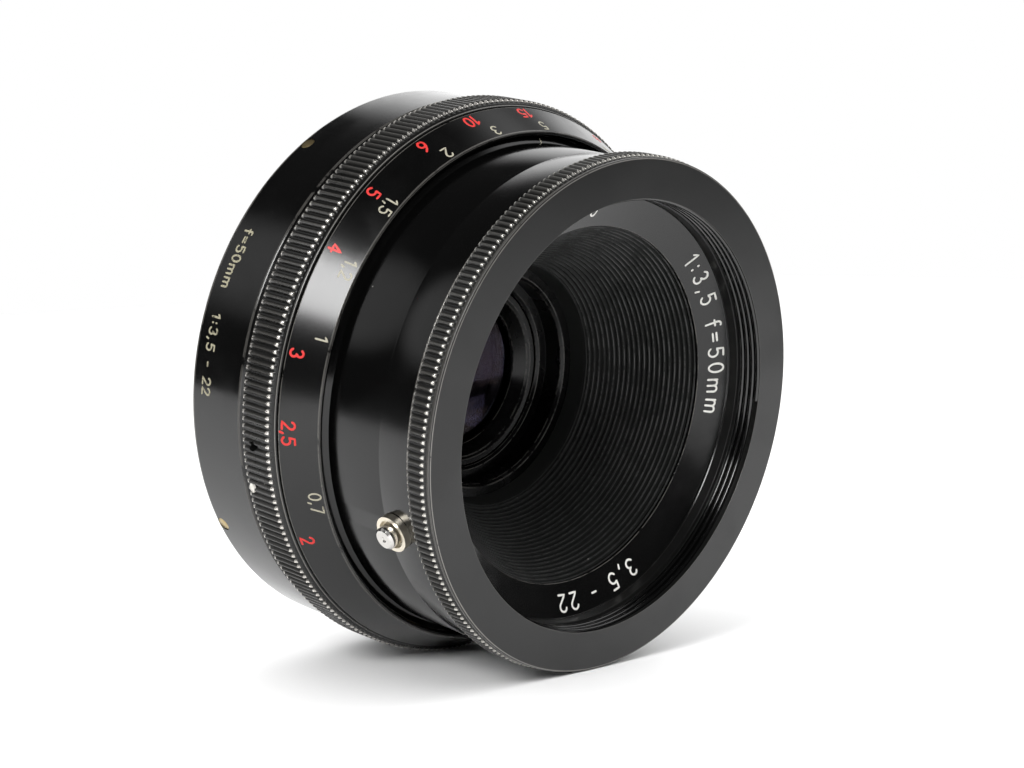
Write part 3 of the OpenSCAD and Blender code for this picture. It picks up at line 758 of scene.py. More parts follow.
class ThreadTree(GeometryTree):
    """Helical thread ridge round the optical axis."""

    ROUND = 0.42

    def __init__(self) -> None:
        """Builds the tree."""
        super().__init__("Thread Ridge", Radius="Float", Pitch="Float", Turns="Float",
                         Front="Float")
        g, take = self.graph, self.take
        spiral = g.add("GeometryNodeCurveSpiral",
                       {"Resolution": 160, "Rotations": take["Turns"],
                        "Start Radius": take["Radius"], "End Radius": take["Radius"],
                        "Height": g.times(take["Pitch"], take["Turns"])})
        upright = g.add("GeometryNodeSetCurveNormal", {0: spiral.outputs[0]}, mode="Z_UP")
        ridge = g.add("GeometryNodeCurvePrimitiveCircle",
                      {"Resolution": 12, "Radius": g.times(take["Pitch"], self.ROUND)},
                      mode="RADIUS")
        sweep = g.add("GeometryNodeCurveToMesh",
                      {0: upright.outputs[0], 1: ridge.outputs[0], "Fill Caps": True})
        turn = g.add("GeometryNodeTransform",
                     {"Geometry": sweep.outputs[0], "Rotation": self.UPRIGHT,
                      "Translation": g.join(y=g.times(take["Front"], -1.0))})
        self.finish(turn.outputs[0])

    def ridge(self, radius: float, pitch: float, turns: float, front: float) -> bpy.types.Mesh:
        """Makes a ridge.

        Args:
            radius: Radius of the middle of the ridge, in millimetres.
            pitch: Pitch in millimetres.
            turns: Number of turns, running to the rear.
            front: Station where it starts.

        Returns:
            The mesh.
        """
        return self.run(bpy.data.meshes.new("seed"), Finishes.THREAD, Radius=radius * MM,
                        Pitch=pitch * MM, Turns=turns, Front=front * MM)


class RibTree(GeometryTree):
    """Stack of equal ribs along a cone: one ring mesh, placed and sized along the axis."""

    def __init__(self) -> None:
        """Builds the tree."""
        super().__init__("Cone Ribs", Count="Int", Rear_Radius="Float", Front_Radius="Float",
                         Rear="Float", Front="Float")
        g, take = self.graph, self.take
        share = g.math("DIVIDE", g.math("ADD", self.index(), 0.5), take["Count"])

        def between(rear: str, front: str) -> bpy.types.NodeSocket:
            """Value at this rib between its rear and front values."""
            reach = g.math("SUBTRACT", take[front], take[rear])
            return g.math("MULTIPLY_ADD", share, reach, take[rear])

        ratio = g.math("DIVIDE", between("Rear Radius", "Front Radius"), take["Rear Radius"])
        places = g.join(y=g.times(between("Rear", "Front"), -1.0))
        self.finish(self.copies(places, take["Geometry"], Scale=g.join(ratio, 1.0, ratio)))


class StudTree(GeometryTree):
    """Equal studs set radially round the rim of a ring, facing outwards."""

    def __init__(self) -> None:
        """Builds the tree."""
        super().__init__("Rim Studs", Count="Int", Radius="Float", Station="Float",
                         First="Float", Step="Float")
        g, take = self.graph, self.take
        clock = g.math("MULTIPLY_ADD", self.index(), take["Step"], take["First"])
        places = g.join(g.times(g.math("SINE", clock), take["Radius"]),
                        g.times(take["Station"], -1.0),
                        g.times(g.math("COSINE", clock), take["Radius"]))
        stand = g.add("GeometryNodeTransform",
                      {"Geometry": take["Geometry"], "Rotation": self.UPRIGHT})
        self.finish(self.copies(places, stand.outputs[0], Rotation=g.join(y=clock)))


# ---- Engraved characters ----------------------------------------------------------------------


def arc(x: float, y: float, rx: float, ry: float, start: float, end: float,
        steps: int = 14) -> list[Point2]:
    """Points along an elliptical arc, with its angles in degrees."""
    out = []
    for k in range(steps + 1):
        a = math.radians(start + (end - start) * k / steps)
        out.append((x + rx * math.cos(a), y + ry * math.sin(a)))
    return out


GLYPHS: dict[str, tuple[float, list[list[Point2]]]] = {
    "0": (0.58, [arc(0.29, 0.5, 0.27, 0.5, 0, 360, 24)]),
    "1": (0.36, [[(0.04, 0.76), (0.26, 1.0), (0.26, 0.0)]]),
    "2": (0.58, [arc(0.29, 0.73, 0.26, 0.27, 165, -38) + [(0.03, 0.0), (0.56, 0.0)]]),
    "3": (0.58, [arc(0.27, 0.75, 0.23, 0.25, 150, -90) + arc(0.27, 0.26, 0.27, 0.26, 80, -150)]),
    "4": (0.6, [[(0.42, 0.0), (0.42, 1.0), (0.02, 0.28), (0.58, 0.28)]]),
    "5": (0.58, [[(0.5, 1.0), (0.1, 1.0), (0.06, 0.55)] + arc(0.27, 0.32, 0.28, 0.32, 130, -145)]),
    "6": (0.58, [[(0.46, 1.0), (0.26, 0.84), (0.1, 0.6), (0.03, 0.38)],
                 arc(0.29, 0.29, 0.26, 0.29, 0, 360, 20)]),
    "7": (0.56, [[(0.02, 1.0), (0.54, 1.0), (0.2, 0.0)]]),
    "8": (0.58, [arc(0.29, 0.76, 0.22, 0.24, 0, 360, 20), arc(0.29, 0.26, 0.27, 0.26, 0, 360, 20)]),
    ",": (0.22, [[(0.12, 0.06), (0.05, -0.14)]]),
    ":": (0.26, [[(0.12, 0.2), (0.12, 0.23)], [(0.12, 0.66), (0.12, 0.69)]]),
    "=": (0.56, [[(0.04, 0.36), (0.5, 0.36)], [(0.04, 0.62), (0.5, 0.62)]]),
    "-": (0.4, [[(0.05, 0.45), (0.34, 0.45)]]),
    " ": (0.4, []),
    "f": (0.42, [arc(0.32, 0.82, 0.16, 0.18, 60, 180, 8) + [(0.16, 0.0)],
                 [(0.02, 0.6), (0.34, 0.6)]]),
    "m": (0.86, [[(0.04, 0.0), (0.04, 0.62)],
                 arc(0.23, 0.42, 0.19, 0.2, 180, 0, 10) + [(0.42, 0.0)],
                 arc(0.61, 0.42, 0.19, 0.2, 180, 0, 10) + [(0.8, 0.0)]]),
    "~": (1.05, [[(0.5 + 0.46 * math.cos(a) / (1 + math.sin(a) ** 2),
                   0.45 + 0.62 * math.sin(a) * math.cos(a) / (1 + math.sin(a) ** 2))
                  for a in (2 * math.pi * k / 40 for k in range(41))]]),
    "|": (0.1, [[(0.05, 0.0), (0.05, 1.0)]]),
}


@dataclass(frozen=True)
class Lettering:
    """Engraved characters filled with paint, as thin beads that follow a surface."""

    height: float
    stroke: float
    gap: float = 0.18
    proud: float = 0.02
    sink: float = 0.03

    LONGEST: ClassVar[float] = 0.35
    CAP: ClassVar[tuple[Point2, ...]] = ((0.5, 0.86), (0.87, 0.5), (1.0, 0.12))

    def width(self, text: str) -> float:
        """Length of a line of text in millimetres."""
        total = sum(GLYPHS[c][0] for c in text) + self.gap * (len(text) - 1)
        return total * self.height

    def write(self, text: str, place: Placement, mesh_work: bmesh.types.BMesh) -> None:
        """Adds a centred line of text.

        Args:
            text: The characters.
            place: Turns distances along, up and out of the line into a point.
            mesh_work: Mesh that the beads are added to.
        """
        at = -self.width(text) / 2
        for character in text:
            advance, strokes = GLYPHS[character]
            for stroke in strokes:
                path = [(at + u * self.height, (v - 0.5) * self.height) for u, v in stroke]
                self._bead(self._refine(path), place, mesh_work)
            at += (advance + self.gap) * self.height

    def _refine(self, path: list[Point2]) -> list[Point2]:
        """Splits long steps so that the bead follows a curved surface."""
        out = [path[0]]
        for a, b in zip(path, path[1:]):
            parts = max(1, math.ceil(math.dist(a, b) / self.LONGEST))
            out += [(a[0] + (b[0] - a[0]) * k / parts, a[1] + (b[1] - a[1]) * k / parts)
                    for k in range(1, parts + 1)]
        return out

    def _bead(self, path: list[Point2], place: Placement, work: bmesh.types.BMesh) -> None:
        """Adds one closed bead along a path."""
        half = self.stroke / 2
        closed = math.dist(path[0], path[-1]) < 1e-6
        if closed:
            path = path[:-1]
        rows = []
        count = len(path)
        for i, (u, v) in enumerate(path):
            before = path[i - 1] if closed or i else path[i]
            after = path[(i + 1) % count] if closed or i < count - 1 else path[i]
            tangent = Vector((after[0] - before[0], after[1] - before[1])).normalized()
            rows.append((Vector((u, v)), tangent, 1.0))
        if not closed:
            first, last = rows[0], rows[-1]
            rows = ([(first[0] - first[1] * half * far, first[1], wide)
                     for far, wide in self.CAP[::-1]] + rows
                    + [(last[0] + last[1] * half * far, last[1], wide)
                       for far, wide in self.CAP])
        brow = self.proud * 0.55
        profile = ((-1.0, -self.sink), (-0.8, brow), (0.0, self.proud), (0.8, brow),
                   (1.0, -self.sink))
        loops = []
        for spot, tangent, wide in rows:
            side = Vector((-tangent.y, tangent.x)) * half * wide
            loops.append([work.verts.new(place(*(spot + side * across), lift))
                          for across, lift in profile])
        pairs = list(zip(loops, loops[1:] + loops[:1] if closed else loops[1:]))
        for first, second in pairs:
            for i in range(len(profile)):
                j = (i + 1) % len(profile)
                work.faces.new((first[i], first[j], second[j], second[i]))
        if not closed:
            work.faces.new(loops[0])
            work.faces.new(loops[-1][::-1])


def engraving(name: str, lines: Iterable[tuple[Lettering, str, Placement]]) -> bpy.types.Mesh:
    """Writes lines of text into one mesh.

    Args:
        name: Name of the mesh.
        lines: Style, characters and placement of each line.

    Returns:
        The mesh, worn all over.
    """
    work = bmesh.new()
    for style, text, place in lines:
        style.write(text, place, work)
    mesh = bpy.data.meshes.new(name)
    bmesh.ops.recalc_face_normals(work, faces=work.faces)
    work.to_mesh(mesh)
    work.free()
    values = [1.0] * len(mesh.vertices)
    mesh.attributes.new("edge", "FLOAT", "POINT").data.foreach_set("value", values)
    return MeshWork.smooth(mesh)


def band_place(clock: float, station: float, radius: float, slope: float) -> Placement:
    """Placement on a cylinder or cone whose characters stand with their tops to the front.

    Args:
        clock: Clock angle of the middle of the line.
        station: Station of the middle of the characters.
        radius: Radius of the surface there, in millimetres.
        slope: Change of radius for each millimetre forward.

    Returns:
        The placement.
    """
    lean = math.atan(slope)

    def place(along: float, up: float, out: float) -> Vector:
        """Point at distances along, up and out of the line."""
        r = radius + up * math.sin(lean) + out * math.cos(lean)
        s = station + up * math.cos(lean) - out * math.sin(lean)
        return on_axis(r, s, clock - math.degrees(along / radius))

    return place


def dish_place(clock: float, radius: float, station: float, slope: float) -> Placement:
    """Placement on a dish whose characters stand with their tops outwards.

    Args:
        clock: Clock angle of the middle of the line.
        radius: Radius of the middle of the characters.
        station: Station of the surface there.
        slope: Change of station for each millimetre outwards.

    Returns:
        The placement.
    """
    lean = math.atan(slope)

    def place(along: float, up: float, out: float) -> Vector:
        """Point at distances along, up and out of the line."""
        r = radius + up * math.cos(lean) - out * math.sin(lean)
        s = station + up * math.sin(lean) + out * math.cos(lean)
        return on_axis(r, s, clock + math.degrees(along / radius))

    return place


# ---- Sub-assemblies ---------------------------------------------------------------------------


def rim_holes(radius: float, station: float, clocks: Iterable[float],
              hole: float) -> list[Hole]:
    """Holes that run in radially from the rim of a ring.

    Args:
        radius: Radius of the rim, in millimetres.
        station: Station of the holes.
        clocks: Clock angle of each hole.
        hole: Radius of the holes.

    Returns:
        The holes, for MeshWork.drill.
    """
    return [(on_axis(radius, station, deg), on_axis(1.0, 0.0, deg).normalized(), hole * MM)
            for deg in clocks]


def face_holes(radius: float, station: float, clocks: Iterable[float],
               hole: float) -> list[Hole]:
    """Holes that run forwards from a rear face.

    Args:
        radius: Distance of the holes from the axis, in millimetres.
        station: Station of their mouths.
        clocks: Clock angle of each hole.
        hole: Radius of the holes.

    Returns:
        The holes, for MeshWork.drill.
    """
    return [(on_axis(radius, station, deg), Vector((0, 1, 0)), hole * MM) for deg in clocks]


@dataclass
class Assembly:
    """Pieces of the lens that ride on one body."""

    body: str

    def add(self, name: str, mesh: bpy.types.Mesh, finish: Surface, *replaced: str) -> None:
        """Adds a finished piece, standing for the CAD nodes named last."""
        MeshWork.piece(name, mesh, finish, self.body, replaced)

    def turn(self, name: str, corners: Iterable[Corner], finish: Surface,
             *replaced: str) -> None:
        """Adds a plain turned ring."""
        self.add(name, Section(corners).spin(name), finish, *replaced)

    def mark(self, name: str, finish: Surface,
             lines: Iterable[tuple[Lettering, str, Placement]]) -> None:
        """Adds lines of text as one piece."""
        self.add(name, engraving(name, lines), finish)


@dataclass
class RearMount(Assembly):
    """Fixed collar, rear flange and mounting thread."""

    body: str = "mount"
    collar_wall: float = 1.6
    screw_count: int = 4
    screw_first: float = -123.0
    screw_step: float = 87.0
    screw_station: float = 1.25
    screw_hole: float = 0.84
    screw_hole_depth: float = 1.25
    screw_radius: float = 0.8
    screw_length: float = 1.1
    screw_sunk: float = 0.06
    stub_radius: float = 21.0
    stub_wall: float = 2.0
    thread_depth: float = 0.62
    thread_pitch: float = 1.0
    thread_turns: float = 3.0
    thread_front: float = -0.85
    undercut: float = 0.35
    rim_clocks: tuple[float, ...] = (30, 120, 210, 300)
    face_clocks: tuple[float, ...] = (75, 165, 255, 345)
    face_radius: float = 26.3
    flange_hole_depth: float = 0.35
    mark_clock: float = -76.0
    mark_station: float = 2.7
    marking: Lettering = field(default_factory=lambda: Lettering(1.35, 0.25, gap=0.26))

    def build(self) -> None:
        """Makes every piece of the mount."""
        self._collar()
        self._flange()
        self._marks()

    def _collar(self) -> None:
        """Smooth lacquered collar with its grub screws."""
        c = Span.of("rear_collar")
        inner = c.radius - self.collar_wall
        taper = 0.13
        mesh = Section([
            Corner(inner, c.rear + 0.02), Corner(c.radius - 0.5, c.rear, 0.18, 0.35),
            Corner(c.radius - taper, c.rear + 0.42, 0.2, 0.2),
            Corner(c.radius, c.front - 0.42, 0.14, 0.1),
            Corner(c.radius - 0.36, c.front, 0.1, 0.06),
            Corner(inner, c.front)]).spin("collar")
        clocks = [self.screw_first + self.screw_step * i for i in range(self.screw_count)]
        holes = rim_holes(c.radius, self.screw_station, clocks, self.screw_hole)
        self.add("collar", MeshWork.drill(mesh, holes, self.screw_hole_depth * MM),
                 Finishes.COLLAR, "rear_collar")
        r, foot = self.screw_radius, -self.screw_length
        grub = Section([
            Corner(TIP, foot), Corner(r, foot), Corner(r, -0.03, 0.03, 0.6),
            Corner(r - 0.04, 0.0), Corner(TIP, 0.0)]).spin("grub", 48)
        screws = StudTree().run(
            grub, Finishes.GRUB, Count=self.screw_count,
            Radius=(c.radius - taper - self.screw_sunk) * MM, Station=self.screw_station * MM,
            First=math.radians(self.screw_first), Step=math.radians(self.screw_step))
        self.add("grub_screws", screws, Finishes.GRUB, "collar_screws")

    def _flange(self) -> None:
        """Rear flange with the threaded stub."""
        f = Span.of("rear_flange")
        inner = self.stub_radius - self.stub_wall
        root = self.stub_radius - self.thread_depth
        neck = root - self.undercut
        mesh = Section([
            Corner(inner, f.rear, 0.15, 0.8), Corner(root - 0.25, f.rear, 0.12, 0.9),
            Corner(root, f.rear + 0.3, 0.1, 0.5), Corner(root, -0.7, 0.1),
            Corner(neck, -0.5, 0.1), Corner(neck, 0.0, 0.1),
            Corner(f.radius - 1.4, 0.0, 0.1, 0.3), Corner(f.radius - 1.35, 0.06, 0.05),
            Corner(f.radius, 0.06), Corner(f.radius, f.front - 0.02),
            Corner(inner, f.front - 0.02, 0.1)]).spin("rear flange")
        holes = face_holes(f.radius - 1.05, -0.2, self.rim_clocks, 1.1)
        holes += face_holes(self.face_radius, -0.2, self.face_clocks, 0.9)
        self.add("rear_flange_plate", MeshWork.drill(mesh, holes, self.flange_hole_depth * MM),
                 Finishes.INNER, "rear_flange")
        ridge = ThreadTree().ridge(self.stub_radius - 0.36, self.thread_pitch, self.thread_turns,
                                   self.thread_front)
        self.add("mounting_thread", ridge, Finishes.THREAD)

    def _marks(self) -> None:
        """Small generic engraving round the collar."""
        radius = Span.of("rear_collar").radius - 0.07
        self.mark("collar_marks", Finishes.OLD_FILL, [
            (self.marking, "f=50mm   1:3,5 - 22",
             band_place(self.mark_clock, self.mark_station, radius, 0.02))])


@dataclass
class KnurledRing(Assembly):
    """Ring with a straight knurl round its rim."""

    teeth: int = 252
    tooth: float = 0.36
    steps_per_tooth: int = 7
    # Edge value along every tooth top: partly wear, partly a painted sheen on the tops.
    top_wear_and_sheen: float = 0.04

    def knurl(self, name: str, corners: Iterable[Corner], root: float,
              finish: Surface) -> bpy.types.Mesh:
        """Turns a ring and cuts its teeth.

        Args:
            name: Name of the mesh.
            corners: Section of the ring.
            root: Radius at the root of the teeth, in millimetres.
            finish: Finish of the ring.

        Returns:
            The mesh.
        """
        mesh = Section(corners, steps=2).spin(name, self.teeth * self.steps_per_tooth)
        return KnurlTree().run(mesh, finish, Teeth=self.teeth, Root_Radius=root * MM,
                               Tooth_Height=self.tooth * MM)


@dataclass
class FocusRing(KnurledRing):
    """Knurled grip, shoulder and distance scale."""

    body: str = "focus_ring"
    tooth_front: float = 14.12
    shoulder_drop: float = 0.6
    bore: float = 29.85
    hole_clocks: tuple[float, ...] = (-100.0, 20.0, 140.0)
    hole_station: float = 11.25
    hole_radius: float = 0.56
    hole_depth: float = 1.2
    spot_clock: float = -109.0
    spot_station: float = 10.4
    spot: Lettering = field(
        default_factory=lambda: Lettering(1.0, 0.85, proud=0.03, sink=0.2))
    scale_bore: float = 29.15
    scale_lip: float = 0.45
    scale_rear: float = 14.6
    feet: tuple[tuple[str, float], ...] = (
        ("2", -120), ("2,5", -96), ("3", -80), ("4", -58), ("5", -44), ("6", -28.5),
        ("10", -14.5), ("15", 1), ("~", 25))
    metres: tuple[tuple[str, float], ...] = (
        ("0,7", -111), ("1", -76), ("1,2", -61), ("1,5", -45), ("2", -26), ("3", -11.5),
        ("5", 3), ("~", 25))
    feet_station: float = 15.8
    metre_station: float = 17.9
    feet_style: Lettering = field(default_factory=lambda: Lettering(1.5, 0.31))
    metre_style: Lettering = field(default_factory=lambda: Lettering(1.4, 0.24))

    def build(self) -> None:
        """Makes every piece of the focus ring."""
        self._grip()
        self._scale()

    def _grip(self) -> None:
        """Knurled grip with its plain shoulder and a spot of old paint."""
        g = Span.of("focus_grip_ring")
        tip, root = g.radius, g.radius - self.tooth
        shoulder = g.radius - self.shoulder_drop
        mesh = self.knurl("grip", [
            Corner(self.bore, g.rear), Corner(root - 0.12, g.rear, 0.06),
            Corner(tip, g.rear + 0.42, 0.16, 0.9, self.top_wear_and_sheen),
            Corner(tip, self.tooth_front - 0.36, 0.2, 1.0, self.top_wear_and_sheen),
            Corner(root - 0.12, self.tooth_front, 0.05),
            Corner(shoulder, self.tooth_front + 0.06, 0.02),
            Corner(shoulder, g.front - 0.12, 0.06, 0.15), Corner(shoulder - 0.12, g.front, 0.05),
            Corner(self.bore, g.front)], root, Finishes.GRIP)
        holes = rim_holes(tip, self.hole_station, self.hole_clocks, self.hole_radius)
        self.add("focus_grip", MeshWork.drill(mesh, holes, self.hole_depth * MM), Finishes.GRIP,
                 "focus_grip_ring")
        self.mark("paint_spot", Finishes.PAINT_SPOT, [
            (self.spot, "-", band_place(self.spot_clock, self.spot_station, tip, 0.0))])

    def _scale(self) -> None:
        """Conical scale ring with its numerals in feet and metres."""
        s = Span.of("distance_scale_ring")
        front_r, rear_r, rear = self.scale_bore + self.scale_lip, s.radius, self.scale_rear
        self.turn("distance_scale", [
            Corner(self.scale_bore, s.rear), Corner(self.bore, s.rear),
            Corner(self.bore, rear), Corner(rear_r - 0.1, rear, 0.05, 0.1),
            Corner(rear_r, rear + 0.16, 0.07, 0.2), Corner(front_r, s.front - 0.12, 0.08, 0.15),
            Corner(front_r - 0.16, s.front, 0.05, 0.1), Corner(self.scale_bore, s.front, 0.04)],
            Finishes.SCALE, "distance_scale_ring")
        slope = (front_r - rear_r) / (s.front - rear - 0.28)
        for name, marks, station, style, finish in (
                ("feet_numerals", self.feet, self.feet_station, self.feet_style,
                 Finishes.RED_FILL),
                ("metre_numerals", self.metres, self.metre_station, self.metre_style,
                 Finishes.CREAM_FILL)):
            radius = rear_r + (station - rear - 0.16) * slope
            self.mark(name, finish, [(style, label, band_place(clock, station, radius, slope))
                                     for label, clock in marks])


@dataclass
class Barrel(Assembly):
    """Sliding front barrel, index skirt and filter bezel."""

    body: str = "barrel"
    wall: float = 1.3
    seam: float = 26.8
    seam_half: float = 0.03
    seam_depth: float = 0.008
    boss_clock: float = -114.0
    boss_station: float = 28.2
    boss_hole: float = 1.74
    boss_hole_depth: float = 1.2
    skirt_wall: float = 0.75
    skirt_lap: float = 1.2
    skirt_bevel: float = 0.68
    skirt_plate: float = 0.45
    index_clock: float = 1.0
    first_stop: float = 58.0
    stop_step: float = 13.3
    stops: tuple[str, ...] = ("3,5", "4", "5,6", "8", "11", "16", "22")
    stop_style: Lettering = field(default_factory=lambda: Lettering(1.5, 0.22))
    filter_bore: float = 24.1
    filter_major: float = 24.5
    filter_pitch: float = 0.75
    filter_turns: float = 3.7
    filter_depth: float = 3.1

    def build(self) -> None:
        """Makes every piece of the barrel."""
        self._tube()
        self._skirt()
        self._bezel()
        self._marks()

    def _tube(self) -> None:
        """Lacquered tube with a hairline seam."""
        b = Span.of("front_barrel")
        inner = b.radius - self.wall
        mesh = Section([
            Corner(inner, b.rear), Corner(b.radius, b.rear),
            Corner(b.radius, self.seam - self.seam_half),
            Corner(b.radius - self.seam_depth, self.seam),
            Corner(b.radius, self.seam + self.seam_half),
            Corner(b.radius, b.front - 0.24, 0.08, 0.35), Corner(b.radius - 0.24, b.front, 0.06),
            Corner(inner, b.front)]).spin("barrel_tube")
        holes = rim_holes(b.radius, self.boss_station, [self.boss_clock], self.boss_hole)
        self.add("barrel_tube", MeshWork.drill(mesh, holes, self.boss_hole_depth * MM),
                 Finishes.BARREL, "front_barrel")

    def _skirt(self) -> None:
        """Index skirt that slides inside the scale ring."""
        k = Span.of("index_skirt")
        barrel = Span.of("front_barrel").radius
        back = k.front - self.skirt_plate
        self.turn("index_skirt_ring", [
            Corner(k.radius - self.skirt_wall, k.rear), Corner(k.radius, k.rear, 0.06),
            Corner(k.radius, k.front - self.skirt_bevel, 0.08, 0.3),
            Corner(barrel, k.front, 0.04), Corner(barrel - self.skirt_lap, k.front),
            Corner(barrel - self.skirt_lap, back), Corner(k.radius - self.skirt_wall, back)],
            Finishes.BARREL, "index_skirt")

    def _bezel(self) -> None:
        """Front bezel, its bore and the filter thread."""
        z = Span.of("filter_bezel_ring")
        face, edge = z.front, z.radius
        rim = Span.of("name_ring").front
        back = Span.of("aperture_ring").front + 0.1
        foot = face - self.filter_depth
        self.turn("filter_bezel", [
            Corner(self.filter_bore + 1.2, rim - 0.6), Corner(self.filter_bore + 1.3, back),
            Corner(edge - 0.3, back, 0.04), Corner(edge, back + 0.16, 0.06, 0.2),
            Corner(edge, face - 0.15, 0.05, 0.15), Corner(edge - 0.17, face, 0.05, 0.4),
            Corner(self.filter_major - 0.18, face, 0.06, 0.12),
            Corner(self.filter_major, face - 0.2, 0.04), Corner(self.filter_major, foot, 0.05),
            Corner(self.filter_bore, foot - 0.15, 0.05),
            Corner(self.filter_bore, rim - 0.02, 0.04)], Finishes.BEZEL, "filter_bezel_ring")
        ridge = ThreadTree().ridge(self.filter_major - 0.06, self.filter_pitch,
                                   self.filter_turns, face - 0.36)
        self.add("filter_thread_ridge", ridge, Finishes.THREAD)

    def _marks(self) -> None:
        """Index lines and aperture numbers."""
        k = Span.of("index_skirt")
        b = Span.of("front_barrel")
        lines = [
            (Lettering(0.85, 0.24), "|",
             band_place(self.index_clock, k.front - 0.36, b.radius + 0.4, -1.1)),
            (Lettering(1.3, 0.24), "|", band_place(self.index_clock, b.front - 1.2, b.radius, 0.0))]
        lines += [(self.stop_style, stop, band_place(self.first_stop + self.stop_step * i,
                                                     b.front - 1.5, b.radius, 0.0))
                  for i, stop in enumerate(self.stops)]
        self.mark("barrel_marks", Finishes.CREAM_FILL, lines)


@dataclass
class ApertureRing(KnurledRing):
    """Narrow knurled ring behind the bezel."""

    body: str = "aperture"
    teeth: int = 232
    # Edge value along every tooth top: partly wear, partly a painted sheen on the tops.
    top_wear_and_sheen: float = 0.05
    bore: float = 25.45

    def build(self) -> None:
        """Makes the knurled ring."""
        a = Span.of("aperture_ring")
        tip, root = a.radius, a.radius - self.tooth
        mesh = self.knurl("aperture_grip", [
            Corner(self.bore, a.rear), Corner(root - 0.35, a.rear, 0.06, 0.3),
            Corner(root - 0.12, a.rear + 0.2, 0.05, 0.1),
            Corner(tip, a.rear + 0.5, 0.12, 0.5, self.top_wear_and_sheen),
            Corner(tip, a.front - 0.4, 0.18, 1.0, self.top_wear_and_sheen),
            Corner(root - 0.1, a.front - 0.1, 0.05, 0.1),
            Corner(root - 0.3, a.front, 0.04), Corner(self.bore, a.front)], root,
            Finishes.APERTURE)
        self.add("aperture_grip", mesh, Finishes.APERTURE, "aperture_ring")


